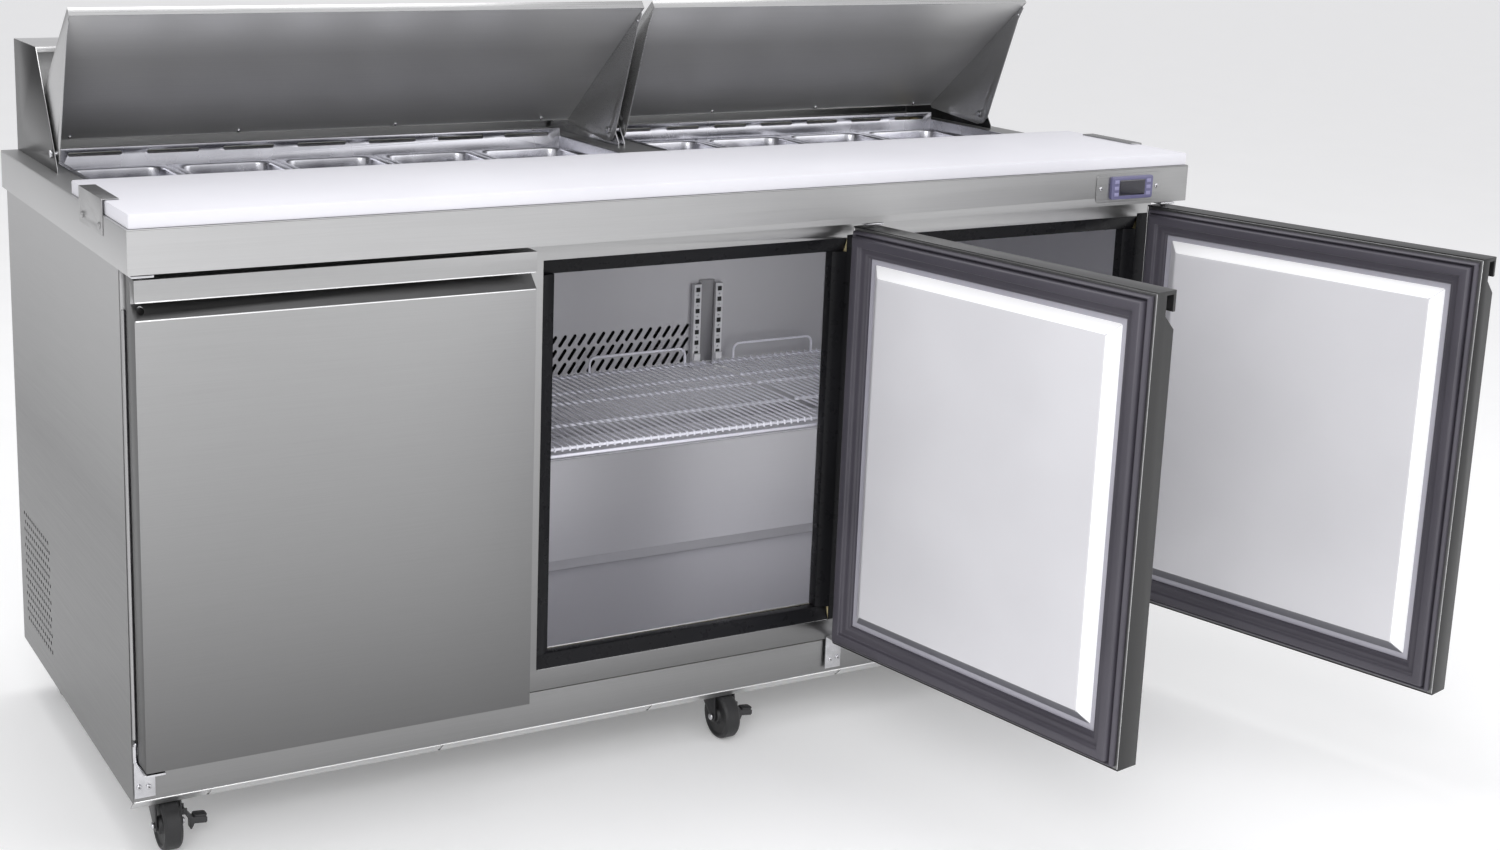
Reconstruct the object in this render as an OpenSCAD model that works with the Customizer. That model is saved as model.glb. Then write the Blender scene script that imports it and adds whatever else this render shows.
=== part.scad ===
// Three-door refrigerated sandwich prep table with two pan wells under folding lids.
// Millimetres, +Z up. The origin is on the floor at the middle of the cabinet's footprint,
// +X runs to the right of a person working at the table and +Y runs to its back.

/* [Cabinet] */
// Width of the worktop
width = 1800; // [1780:10:1860]
// Depth from the apron to the back
depth = 768; // [760:4:800]
// Height of the steel worktop above the floor
top_z = 922; // [918:2:930]
// Height of the apron round the worktop
apron_h = 60; // [54:1:62]
// Distance of the cabinet's sides from the ends of the worktop
side_inset = 7; // [5:1:10]
// Height of the base above the floor
base_z = 92; // [92:1:96]
// Thickness of the outer steel sheet
sheet = 1.2; // [0.8:0.1:1.5]

/* [Doors] */
// Gap between neighbouring doors
door_gap = 15; // [12:1:20]
// Height of a door
door_h = 691; // [685:1:691]
// Thickness of a door without its gasket
door_t = 40; // [40:1:48]
// Thickness of a door gasket
gasket_t = 17.6; // [14:0.2:17.6]
// How far the middle door stands open
middle_open = 99.6; // [0:0.2:105]
// How far the right door stands open
right_open = 104; // [0:0.2:105]

/* [Lids and hood] */
// Height of the hood above the worktop
hood_h = 178; // [178:1:190]
// Length of a lid panel from its front flange to its heel
lid_len = 345; // [335:1:345]
// Thickness of a lid panel
lid_t = 14; // [10:1:14]
// Slope of an open lid panel, down to the back
lid_slope = 39; // [37:0.5:40]

/* [Wells and pans] */
// Pan columns in the left well
left_columns = 5; // [5]
// Pan columns in the right well
right_columns = 4; // [4]
// Distance between pan columns
pan_pitch = 176; // [175:0.5:176]
// Depth of a pan
pan_depth = 100; // [65, 100]
// Depth of the cutting board from front to back
board_d = 302; // [280:2:304]
// Thickness of the cutting board
board_t = 20; // [12:1:20]

/* [Shelves] */
// Height of the top of the shelf wires
shelf_z = 517; // [505:1:560]
// Number of wires across one shelf
shelf_wires = 45; // [21:2:45]

/* [Casters] */
// Radius of a caster wheel
wheel_r = 37.5; // [35:0.5:37.5]
// Distance of a wheel's axle from its swivel axis
caster_trail = 26; // [22:1:28]

/* [Hidden] */
$fn = 48;

steel = "gainsboro";
bright = "whitesmoke";
dark = "dimgray";
black = "#202024";
white = "white";

gap = 0.2;                          // between sheets that are screwed or foamed together
half_w = width / 2;
side_x = half_w - side_inset;       // outer face of a side panel
inner_x = side_x - sheet - gap;     // widest thing between the side panels
back_y = depth - 2;                 // outer face of the back panel
apron_z = top_z - apron_h;          // underside of the apron

// Front frame and the three openings
frame_y = 74;                       // plane that the gaskets seal on
door_front_y = frame_y - 0.4 - gasket_t - door_t;
door_w = (2 * (side_x - 5) - 2 * door_gap) / 3;
door_pitch = door_w + door_gap;
door_z = apron_z - 10 - door_h;
lip_h = 30;                         // front lip of the handle
lip_t = 5;
lip_web = 6;
grip_d = 20;                        // depth of the finger recess behind the lip
mouth_inset = 46;                   // door edge to the side of the opening
breaker_w = 22;
breaker_back_y = frame_y + 26;
mouth_bottom = door_z + 47;
mouth_top = door_z + door_h - 49;
mouth_w = door_w - 2 * mouth_inset;
rail_bottom = door_z - 9;           // lower edge of the front frame

// Liner
liner_t = 0.8;
cave_y = breaker_back_y + 1;        // front edge of the liner
wall_x = side_x - 47;               // inner face of a side wall
hump_y = 425;                       // front of the step over the machine room
hump_z = 400;                       // top of that step
machine_y = 470;                    // front of the machine room
machine_z = 355;                    // ceiling of the machine room
cover_y = 556;                      // slotted cover in front of the evaporator
cover_top = 799;
liner_back_y = depth - 53;

// Shelves
shelf_front = breaker_back_y + 40;
shelf_back = cover_y - 16;
shelf_half_mid = door_pitch / 2 - 7;
shelf_half_end = (wall_x - door_pitch / 2) / 2 - 7;
shelf_mid_end = (wall_x + door_pitch / 2) / 2;
wire_r = 1.4;
rod_r = 2.6;

// Wells
bridge = 100;                       // worktop between the two wells
wells_w = (left_columns + right_columns) * pan_pitch + bridge;
well_x0 = -wells_w / 2;
well_x1 = well_x0 + left_columns * pan_pitch;
well_x2 = well_x1 + bridge;
well_x3 = -well_x0;
well_front_y = 314.5;
well_back_y = 643.5;
well_wall = 1.5;
louvre_wall_top = top_z + 15;
rim_z = top_z - 16;                 // top of the pan rims
bar_top = rim_z - 1.5;
bar_h = 7.8;
bar_w = 12;
pan_rim = 174.6;
pan_row = 162;

// Hood and lids
hood_x = half_w - 27;
hood_front_y = 613;
hood_foot_y = 495;
hood_top = top_z + hood_h;
bracket_x = 84;                     // middle of the centre lid bracket
pivot_y = 522;
pivot_z = top_z + 26;
pivot_u = 222;                      // pivot in the lid's own plane, from the front flange
pivot_v = -97;
bolt_r = 4;
cheek_t = 1.2;
lid_end = hood_x - 5;
lid_centre_gap = 9.5;

// Hinges
hinge_in = 11;                      // door edge to hinge axis
hinge_back = 12;                    // door front to hinge axis
hinge_r = 5;
hinge_y = door_front_y + hinge_back;
hinge_x = [-door_pitch - door_w / 2 + hinge_in, door_w / 2 - hinge_in, door_pitch + door_w / 2 - hinge_in];
fit = 0.05;                         // radial clearance of every running fit

// Fans: radius of the shafts, and where each fan turns
fan_bore = 3;
evap_fan = [330, 600, 690];
cond_fan = [-790, 620, 215];

// Controller
ctrl_x = [703, 840];
ctrl_z = [top_z - 54, top_z - 7];
ctrl_mid = [(ctrl_x[0] + ctrl_x[1]) / 2 + 4, (ctrl_z[0] + ctrl_z[1]) / 2];
bezel = [88, 38];
key = [9, 6];
key_pitch = 10.5;
key_off = 34;

// Casters: swivel axis x, y and the direction that the wheel trails in
front_x = [-836, 89, 835];
rear_x = [-835, 77, 835];
front_swivel_y = 131;
rear_swivel_y = 684;
front_turn = 180;
wheel_w = 31;
axle_r = 4;
kingpin_r = 5;
fork_top = base_z - 10.5;
leg_in = wheel_w / 2 + 1.5;         // inner face of a fork leg
leg_t = 2.5;
pedal_at = [-leg_in - leg_t - 5, 16, 50];
pedal_w = 14;

module slab(x, y, z) {
    translate([x[0], y[0], z[0]]) cube([x[1] - x[0], y[1] - y[0], z[1] - z[0]]);
}

// Extrudes an outline drawn in Y and Z along X
module along_x(x0, x1) {
    translate([x0, 0, 0]) rotate([90, 0, 90]) linear_extrude(x1 - x0) children();
}

// Extrudes an outline drawn in X and Z along Y
module along_y(y0, y1) {
    translate([0, y1, 0]) rotate([90, 0, 0]) linear_extrude(y1 - y0) children();
}

// Places things that are measured from the apron's front face
module from_front() {
    translate([0, -depth / 2, 0]) children();
}

module both_sides() {
    children();
    mirror([1, 0, 0]) children();
}

module box2(x, y) {
    translate([x[0], y[0]]) square([x[1] - x[0], y[1] - y[0]]);
}

module round_box2(w, d, r) {
    square([w - 2 * r, d], center = true);
    square([w, d - 2 * r], center = true);
    for (i = [-1, 1], j = [-1, 1]) translate([i * (w / 2 - r), j * (d / 2 - r)]) circle(r);
}

module slot2(length, w) {
    square([length - w, w], center = true);
    for (i = [-1, 1]) translate([i * (length - w) / 2, 0]) circle(w / 2);
}

// ---- Cabinet ----

module side_panels() {
    vent_y = [553, 742];
    vent_z = [142, 336];
    pitch = 14;
    hole_r = 3.6;
    rows = floor((vent_z[1] - vent_z[0]) / pitch);
    cols = floor((vent_y[1] - vent_y[0]) / pitch);
    module panel() {
        box2([frame_y, back_y], [base_z, top_z - 7]);
    }
    color(steel) from_front() {
        along_x(side_x - sheet, side_x) panel();
        // the left one has the vent of the machine room
        along_x(-side_x, sheet - side_x) difference() {
            panel();
            for (i = [0:rows], j = [0:cols - 1])
                translate([vent_y[0] + pitch * (j + (i % 2) / 2), vent_z[0] + pitch * i])
                    circle(hole_r, $fn = 14);
        }
    }
}

module back_panel() {
    slot_w = 9;
    slot_l = 150;
    gland_x = 710;
    gland_z = 200;
    gland_r = 11;
    color(steel) from_front() {
        along_y(back_y - sheet, back_y) difference() {
            box2([-inner_x, inner_x], [base_z, top_z - 7]);
            for (x = [-700, -520, -340, 340, 520], i = [0:8]) translate([x, 140 + 22 * i]) slot2(slot_l, slot_w);
            translate([gland_x, gland_z]) circle(gland_r);
        }
        // cable gland of the supply lead
        translate([gland_x, back_y + 12, gland_z]) rotate([90, 0, 0]) difference() {
            union() {
                cylinder(r = gland_r - 0.3, h = 26);
                cylinder(r = gland_r + 5, h = 11.8);
            }
            translate([0, 0, -1]) cylinder(r = 5, h = 40);
        }
    }
}

module base_pan() {
    color(steel) from_front() slab([-inner_x, inner_x], [92, back_y - sheet - gap], [base_z, base_z + 1.5]);
}

module kick_panel() {
    y0 = 78;
    flange = 15.5;
    hole_x = [-780, -420, -60, 300, 660];
    color(steel) from_front() difference() {
        along_x(-inner_x, inner_x) polygon([
            [y0, rail_bottom - 3], [y0 + sheet, rail_bottom - 3], [y0 + sheet, base_z],
            [y0 + sheet + flange, base_z - flange], [y0 + flange, base_z - flange - 1],
            [y0, base_z - 1]
        ]);
        for (x = hole_x) translate([x, y0 + sheet + flange / 2, base_z - flange / 2])
            rotate([45, 0, 0]) cylinder(r = 2.5, h = 20, center = true);
    }
}

module mouths2(grow) {
    for (i = [-1:1]) translate([i * door_pitch, 0])
        box2([-mouth_w / 2 - grow, mouth_w / 2 + grow], [mouth_bottom - grow, mouth_top + grow]);
}

module front_frame() {
    color(steel) from_front() along_y(frame_y, frame_y + sheet) difference() {
        box2([-inner_x, inner_x], [rail_bottom, apron_z - gap]);
        mouths2(breaker_w + gap);
    }
}

module breaker_strips() {
    bevel = 8;
    outline = [[0, 0], [breaker_w, bevel], [breaker_w, breaker_back_y - frame_y], [0, breaker_back_y - frame_y]];
    h = mouth_top - mouth_bottom;
    color(black) from_front() for (i = [-1:1]) translate([i * door_pitch, frame_y, 0]) {
        for (s = [0, 1]) mirror([s, 0, 0])
            translate([-mouth_w / 2 - breaker_w, 0, mouth_bottom]) linear_extrude(h) polygon(outline);
        along_x(-mouth_w / 2 - breaker_w, mouth_w / 2 + breaker_w) {
            translate([0, mouth_bottom - gap]) polygon([for (p = outline) [p[1], p[0] - breaker_w]]);
            translate([0, mouth_top + gap]) polygon([for (p = outline) [p[1], breaker_w - p[0]]]);
        }
    }
}

module insulation() {
    top = top_z - 3;
    back = back_y - sheet - gap;
    side = wall_x + liner_t + gap;
    x = wall_x - gap;
    floor_top = mouth_bottom - liner_t - gap;
    under = mouth_bottom - breaker_w - 0.6;
    over = mouth_top + breaker_w + 0.6;
    step_y = hump_y + gap;
    step_z = hump_z - liner_t - gap;
    color("khaki") from_front() {
        both_sides() {
            slab([side, inner_x], [cave_y, back], [machine_z + gap, top]);
            slab([side, inner_x], [cave_y, machine_y], [rail_bottom, machine_z]);
        }
        slab([-x, x], [cave_y, step_y - 1.4], [rail_bottom, floor_top]);
        slab([-x, x], [frame_y + 2, cave_y - gap], [rail_bottom, under]);
        slab([-x, x], [step_y, machine_y], [rail_bottom, step_z]);
        slab([-x, x], [machine_y + gap, back], [machine_z + gap, step_z]);
        slab([-x, x], [liner_back_y + 1, back], [step_z + gap, top]);
        slab([-x, x], [frame_y + 2, cave_y - gap], [over, top]);
        slab([-x, x], [cave_y, well_front_y - 4], [mouth_top + liner_t + gap, top]);
        for (s = [-1, 1]) translate([s * door_pitch / 2, 0])
            slab([-door_gap / 2 - mouth_inset + breaker_w + 0.6, door_gap / 2 + mouth_inset - breaker_w - 0.6],
                 [frame_y + 2, breaker_back_y - gap],
                 [mouth_bottom - breaker_w, mouth_top + breaker_w]);
    }
}

module inner_liner() {
    x = wall_x - gap;
    cove = 12;
    low = mouth_bottom - liner_t;
    high = apron_z - 4;
    color("lightgray") from_front() {
        both_sides() along_x(wall_x, wall_x + liner_t) polygon([
            [cave_y, low], [hump_y, low], [hump_y, hump_z - liner_t], [liner_back_y, hump_z - liner_t],
            [liner_back_y, high], [cave_y, high]
        ]);
        slab([-x, x], [cave_y, hump_y - 1], [mouth_bottom - liner_t, mouth_bottom]);
        slab([-x, x], [hump_y - liner_t, hump_y], [mouth_bottom - liner_t, hump_z - 1]);
        slab([-x, x], [hump_y - liner_t, liner_back_y - gap], [hump_z - liner_t, hump_z]);
        slab([-x, x], [liner_back_y, liner_back_y + liner_t], [hump_z + gap, top_z - 4]);
        slab([-x, x], [cave_y, well_front_y - 4], [mouth_top, mouth_top + liner_t]);
        slab([-x, x], [well_front_y - 3.6, well_front_y - 2.8], [mouth_top, apron_z - 4]);
        for (s = [-1, 1]) translate([s * door_pitch / 2, 0])
            slab([-door_gap / 2 - mouth_inset, door_gap / 2 + mouth_inset],
                 [breaker_back_y + gap, breaker_back_y + gap + liner_t], [mouth_bottom + gap, mouth_top - gap]);
        along_x(-x, x) polygon([
            [hump_y - 1 - cove, mouth_bottom + gap], [hump_y - 1, mouth_bottom + gap],
            [hump_y - 1, mouth_bottom + cove]
        ]);
    }
}

// Sheet that hides the evaporator, with three rows of slanted air slots
module evaporator_cover() {
    x = wall_x - 0.5;
    slot_len = 25;
    slot_w = 6.6;
    lean = 55;
    pitch = 19;
    row = 25;
    span = 14;
    low = shelf_z + 6;
    color("lightgray") from_front() {
        along_y(cover_y, cover_y + 1) difference() {
            box2([-x, x], [hump_z + gap, cover_top]);
            for (i = [-span:span - 1], j = [0:2])
                translate([(i + 0.5) * pitch, low + row * j]) rotate(lean) slot2(slot_len, slot_w);
        }
        slab([-x, x], [cover_y, well_back_y + 8], [cover_top, cover_top + 1]);
        slab([-x, x], [well_back_y + 7, well_back_y + 8], [cover_top, apron_z - 2]);
    }
}

// A slotted post standing at the origin with its back on y = 0, and the clip that holds a shelf
module pilaster() {
    strip = 15;
    h = 146;
    hole = 8;
    pitch = 19.5;
    thick = 10;
    reach = 38;
    clip_top = -1.7;
    along_y(-thick, 0) difference() {
        box2([-strip / 2, strip / 2], [0, h]);
        for (i = [0:6]) translate([-hole / 2, 15 + i * pitch]) square(hole);
        for (i = [0:5]) translate([0, 19 + (i + 0.5) * pitch]) circle(1.6, $fn = 14);
    }
    slab([-6, 6], [-thick - gap - 3, -thick - gap], [clip_top - 12, clip_top + 12]);
    slab([-6, 6], [-reach, -thick - gap], [clip_top - 3, clip_top]);
}

// Two posts with a plate between them
module pilaster_pair() {
    for (s = [-1, 1]) translate([s * 22.5, 0]) pilaster();
    slab([-14.7, 14.7], [-3, 0], [0, 152]);
}

module pilasters() {
    z = shelf_z - 2 * wire_r - 2 * rod_r + 2;
    front = breaker_back_y + 2;
    color(bright) from_front() {
        for (s = [-1, 1]) translate([s * door_pitch / 2, 0, z]) {
            translate([0, cover_y - gap, 0]) pilaster_pair();
            translate([0, front, 0]) mirror([0, 1, 0]) pilaster_pair();
        }
        for (s = [-1, 1]) translate([s * (wall_x - 24), 0, z]) {
            translate([0, cover_y - gap, 0]) pilaster();
            translate([0, front, 0]) mirror([0, 1, 0]) pilaster();
        }
    }
}

// ---- Worktop, wells and hood ----

// Cut-outs for the wells, running back over the air duct behind them
module well_holes2(grow) {
    for (w = [[well_x0, well_x1], [well_x2, well_x3]])
        box2([w[0] - grow, w[1] + grow], [well_front_y - grow, liner_back_y - 15]);
}

module worktop() {
    fold = sheet + gap;
    under = top_z - fold;
    color(steel) from_front() {
        translate([0, 0, top_z - sheet]) linear_extrude(sheet) difference() {
            box2([-half_w, half_w], [0, depth]);
            well_holes2(well_wall + gap);
        }
        // front apron with the controller's cut-out, its soffit, and the other three sides
        along_y(0, sheet) difference() {
            box2([-half_w, half_w], [apron_z, under]);
            translate(ctrl_mid) square([bezel[0] - 10, bezel[1] - 8], center = true);
        }
        slab([fold - half_w, half_w - fold], [fold, frame_y - gap], [apron_z, apron_z + sheet]);
        both_sides() {
            slab([half_w - sheet, half_w], [fold, depth - fold], [apron_z, under]);
            slab([side_x + gap, half_w - fold], [frame_y, depth - fold], [apron_z, apron_z + sheet]);
        }
        slab([-half_w, half_w], [depth - sheet, depth], [apron_z, under]);
    }
}

module well_liner(x0, x1, louvres) {
    rim = 8;
    pitch = (x1 - x0) / louvres;
    module ledge(y) {
        slab([x0, x1], y, [bar_top - bar_h - 1.7, bar_top - bar_h - gap]);
    }
    difference() {
        slab([x0 - well_wall, x1 + well_wall], [well_front_y - well_wall, well_back_y + well_wall],
             [apron_z, top_z + 1.2]);
        slab([x0, x1], [well_front_y, well_back_y], [apron_z - 1, top_z + 20]);
    }
    // rim that lies on the worktop
    translate([0, 0, top_z + gap]) linear_extrude(1) difference() {
        box2([x0 - rim, x1 + rim], [well_front_y - rim + 1, well_back_y + rim]);
        box2([x0, x1], [well_front_y, well_back_y]);
    }
    // back wall with its row of air louvres
    along_y(well_back_y, well_back_y + well_wall) difference() {
        box2([x0 - well_wall, x1 + well_wall], [top_z, louvre_wall_top]);
        for (i = [0:louvres - 1]) translate([x0 + (i + 0.5) * pitch, top_z + 5.8]) slot2(pitch * 0.68, 7);
    }
    ledge([well_front_y, well_front_y + 8]);
    ledge([well_back_y - 8, well_back_y]);
    slab([x0, x0 + 8], [well_front_y, well_back_y], [bar_top - 1.5, bar_top]);
    slab([x1 - 8, x1], [well_front_y, well_back_y], [bar_top - 1.5, bar_top]);
}

module well_liners() {
    color(steel) from_front() {
        well_liner(well_x0, well_x1, 7);
        well_liner(well_x2, well_x3, 7);
    }
}

module divider_bars() {
    color(steel) from_front() for (w = [[well_x0, left_columns], [well_x2, right_columns]], i = [1:w[1] - 1])
        translate([w[0] + i * pan_pitch, 0, 0]) along_y(well_front_y + gap, well_back_y - gap) difference() {
            box2([-bar_w / 2, bar_w / 2], [bar_top - bar_h, bar_top]);
            box2([-bar_w / 2 + 1.5, bar_w / 2 - 1.5], [bar_top - bar_h - 1, bar_top - 1.5]);
        }
}

module pan() {
    $fn = 12;
    wall = 0.8;
    body = [pan_rim - 22, pan_row - 22];
    corner = 18;
    difference() {
        union() {
            translate([0, 0, -pan_depth]) linear_extrude(pan_depth) round_box2(body[0], body[1], corner);
            translate([0, 0, -1.2]) linear_extrude(1.2) round_box2(pan_rim, pan_row, 6);
        }
        translate([0, 0, wall - pan_depth]) linear_extrude(pan_depth)
            round_box2(body[0] - 2 * wall, body[1] - 2 * wall, corner - wall);
    }
}

module pans(x0, columns) {
    mid_y = (well_front_y + well_back_y) / 2;
    color(steel) from_front() for (i = [0:columns - 1], j = [-1, 1])
        translate([x0 + (i + 0.5) * pan_pitch, mid_y + j * (pan_row / 2 + 0.5), rim_z]) pan();
}

module pans_left() {
    pans(well_x0, left_columns);
}

module pans_right() {
    pans(well_x2, right_columns);
}

module cutting_board() {
    color(white) from_front() slab([-half_w + 3, half_w - 3], [3, 3 + board_d], [top_z + gap, top_z + board_t]);
}

module board_bracket() {
    y = [118, 244];
    t = 1.5;
    down = 28;
    over = 22;
    top = top_z + board_t + 0.6;
    difference() {
        union() {
            slab([half_w + gap, half_w + gap + t], y, [top_z - down, top + t]);
            slab([half_w - over, half_w + gap + t], y, [top, top + t]);
        }
        for (v = [16, 110]) translate([half_w - 1, y[0] + v, top_z - down + 12])
            rotate([0, 90, 0]) cylinder(r = 2.6, h = 6);
    }
    for (v = [16, 110]) translate([half_w + gap + t + 0.1, y[0] + v, top_z - down + 12])
        rotate([0, 90, 0]) cylinder(r1 = 5, r2 = 3.5, h = 2);
}

module board_brackets() {
    color(steel) from_front() both_sides() board_bracket();
}

// Outline of the hood's end panel in Y and Z, with the hole for the lid's pivot bolt
module hood_end2(inset = 0) {
    low = top_z + gap;
    back = depth - 1.5 - inset;
    difference() {
        polygon([
            [hood_foot_y, low], [back, low], [back, hood_top - inset],
            [hood_front_y + inset * 0.6, hood_top - inset], [hood_foot_y, low + 6]
        ]);
        translate([pivot_y, pivot_z]) circle(bolt_r + fit);
    }
}

// Cover with its front hem, back, and the two end panels that carry the lids
module hood() {
    hem = 8;
    low = top_z + gap;
    back = depth - 1.5;
    x = hood_x - sheet - gap;
    color(steel) from_front() {
        along_x(-x, x) polygon([
            [hood_front_y, hood_top - hem], [hood_front_y + sheet, hood_top - hem],
            [hood_front_y + sheet, hood_top - sheet], [back, hood_top - sheet], [back, hood_top],
            [hood_front_y, hood_top]
        ]);
        slab([-x, x], [back - sheet, back], [low, hood_top - sheet - gap]);
        both_sides() along_x(hood_x - sheet, hood_x) hood_end2();
    }
}

// ---- Lids ----

// The pair of plates that carries both lids in the middle
module lid_brackets() {
    half = 6.5;
    t = 2;
    spacer_y = [600, 700];
    color(steel) from_front() {
        for (x = [bracket_x - half, bracket_x + half - t]) along_x(x, x + t) hood_end2(9);
        for (y = spacer_y) translate([bracket_x - half + t - 0.1, y, top_z + 60]) rotate([0, 90, 0])
            cylinder(r = 5, h = 2 * (half - t) + 0.2);
    }
}

// A bolt along X from a to b with a head at each end, and the last one optional
module pivot_bolt(a, b, nut) {
    head = 4;
    translate([a, pivot_y, pivot_z]) rotate([0, 90, 0]) {
        cylinder(r = bolt_r, h = b - a);
        translate([0, 0, -head]) cylinder(r = 6.5, h = head + 0.01, $fn = 6);
        if (nut) translate([0, 0, b - a - 0.01]) cylinder(r = 6.5, h = head, $fn = 6);
    }
}

module lid_pivot_bolts() {
    inside = cheek_t + 0.3;
    color(bright) from_front() {
        pivot_bolt(-hood_x - 0.3, -lid_end + inside, true);
        pivot_bolt(bracket_x - lid_centre_gap - inside, bracket_x + lid_centre_gap + inside, true);
        pivot_bolt(lid_end - inside, hood_x + 0.3, true);
    }
}

// Moves an outline drawn from the lid's front flange to where the open lid stands
module lid_frame() {
    from_front() translate([0, pivot_y, pivot_z]) rotate([-lid_slope, 0, 0])
        translate([0, -pivot_u, -pivot_v]) children();
}

module cheek2() {
    difference() {
        union() {
            polygon([
                [12, 1], [lid_len, 1], [lid_len, -6], [pivot_u + 18, pivot_v - 12],
                [pivot_u - 12, pivot_v - 18], [34, -12], [12, -4]
            ]);
            translate([pivot_u, pivot_v]) circle(19);
        }
        translate([pivot_u, pivot_v]) circle(bolt_r + fit);
    }
}

module lid_shell(x0, x1) {
    color(steel) lid_frame() {
        difference() {
            slab([x0, x1], [0, lid_len], [0, lid_t]);
            slab([x0 + cheek_t, x1 - cheek_t], [1, lid_len - 1], [-1, lid_t - 1]);
        }
        along_x(x0, x0 + cheek_t) cheek2();
        along_x(x1 - cheek_t, x1) cheek2();
    }
}

module lid_liner(x0, x1) {
    color(dark) lid_frame()
        slab([x0 + cheek_t + gap, x1 - cheek_t - gap], [1 + gap, lid_len - 1 - gap], [0.5, lid_t - 1 - gap]);
}

module left_lid_shell() {
    lid_shell(-lid_end, bracket_x - lid_centre_gap);
}

module left_lid_liner() {
    lid_liner(-lid_end, bracket_x - lid_centre_gap);
}

module right_lid_shell() {
    lid_shell(bracket_x + lid_centre_gap, lid_end);
}

module right_lid_liner() {
    lid_liner(bracket_x + lid_centre_gap, lid_end);
}

// ---- Controller ----

module key_places() {
    for (s = [-1, 1], i = [-1:1]) translate([ctrl_mid[0] + s * key_off, 0, ctrl_mid[1] + i * key_pitch])
        children();
}

module controller() {
    proud = 5;
    plate_t = 1;
    cover = bezel + [1, 1];
    color(steel) from_front() along_y(-plate_t, -gap / 2) difference() {
        translate([(ctrl_x[0] + ctrl_x[1]) / 2, ctrl_mid[1]]) round_box2(ctrl_x[1] - ctrl_x[0], ctrl_z[1] - ctrl_z[0], 5);
        translate(ctrl_mid) square([bezel[0] - 10, bezel[1] - 8], center = true);
        for (x = [ctrl_x[0] + 9, ctrl_x[1] - 9]) translate([x, ctrl_mid[1]]) circle(2.2);
    }
    color(dark) from_front() difference() {
        translate([ctrl_mid[0], 0, ctrl_mid[1]]) {
            along_y(-proud - plate_t, -plate_t - 0.1) round_box2(bezel[0], bezel[1], 4);
            slab([-38, 38], [-plate_t - 0.2, 55], [-14.5, 14.5]);
        }
        // chamber of the rubber keypad, open to the front at the keys
        translate([ctrl_mid[0], 0, ctrl_mid[1]]) slab([-40, 40], [-3.9, -2.2], [-15.5, 15.5]);
        key_places() slab([-key[0] / 2 - 0.3, key[0] / 2 + 0.3], [-10, -3], [-key[1] / 2 - 0.3, key[1] / 2 + 0.3]);
    }
}

module keypad() {
    color(black) from_front() {
        translate([ctrl_mid[0], 0, ctrl_mid[1]]) slab([-39.5, 39.5], [-3.7, -2.9], [-15, 15]);
        key_places() slab([-key[0] / 2, key[0] / 2], [-6.8, -2.9], [-key[1] / 2, key[1] / 2]);
    }
}

// ---- Doors ----

module hinge_bracket() {
    x = [-14, 16];
    plate_y = frame_y - gap;
    low = door_z - 2.6;
    high = door_z + door_h + 2.6;
    slab(x, [plate_y - 2.2, plate_y], [base_z + 8, low]);
    slab(x, [door_front_y, plate_y], [low - 3, low]);
    translate([0, hinge_y, low - 3]) cylinder(r = hinge_r, h = 15);
    slab(x, [plate_y - 2.2, plate_y], [high, apron_z - gap]);
    slab(x, [door_front_y, plate_y], [high, high + 3]);
    translate([0, hinge_y, high - 11]) cylinder(r = hinge_r, h = 14);
}

module hinge_brackets() {
    color(steel) from_front() {
        translate([hinge_x[0], 0, 0]) hinge_bracket();
        translate([hinge_x[1], 0, 0]) mirror([1, 0, 0]) hinge_bracket();
        translate([hinge_x[2], 0, 0]) mirror([1, 0, 0]) hinge_bracket();
    }
}

// Profile of a door in Y and Z, from its front face and lower edge, drawn t inside its skin
function door_profile(t, back) = [
    [t, t], [back, t], [back, door_h - t], [grip_d + t, door_h - t],
    [grip_d + t, door_h - lip_h - 5 - 0.4 * t], [t, door_h - lip_h - 5 - grip_d - 0.4 * t]
];

// A door with its hinge axis at the origin's X and Y, hung on its right or its left side
module door_place(open, right) {
    rotate([0, 0, open]) mirror([right ? 0 : 1, 0, 0])
        translate([hinge_in - door_w, -hinge_back, door_z]) children();
}

module door_skin() {
    skin = 1;
    difference() {
        union() {
            along_x(0, door_w) polygon(door_profile(0, door_t));
            along_x(0, door_w) polygon([
                [0, door_h - lip_h], [lip_t, door_h - lip_h], [lip_t, door_h - lip_web],
                [grip_d + 0.5, door_h - lip_web], [grip_d + 0.5, door_h], [0, door_h]
            ]);
        }
        along_x(skin, door_w - skin) polygon(door_profile(skin, door_t + 1));
        translate([door_w - hinge_in, hinge_back, -1]) cylinder(r = hinge_r + fit, h = door_h + 2);
    }
}

module door_liner() {
    inset = 1.2;
    plug = 12;
    edge = mouth_inset + 4;
    bevel = 10;
    difference() {
        along_x(inset, door_w - inset) polygon(door_profile(inset, door_t));
        translate([door_w - hinge_in, hinge_back, -1]) cylinder(r = hinge_r + 2, h = 18);
        translate([door_w - hinge_in, hinge_back, door_h - 40]) cylinder(r = hinge_r + 2, h = 60);
    }
    // raised plug with bevelled sides
    intersection() {
        linear_extrude(door_h) polygon([
            [edge, door_t - 1], [door_w - edge, door_t - 1], [door_w - edge, door_t],
            [door_w - edge - bevel, door_t + plug], [edge + bevel, door_t + plug], [edge, door_t]
        ]);
        along_x(0, door_w) polygon([
            [door_t - 1, edge], [door_t, edge], [door_t + plug, edge + bevel],
            [door_t + plug, door_h - edge - bevel], [door_t, door_h - edge], [door_t - 1, door_h - edge]
        ]);
    }
}

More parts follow.
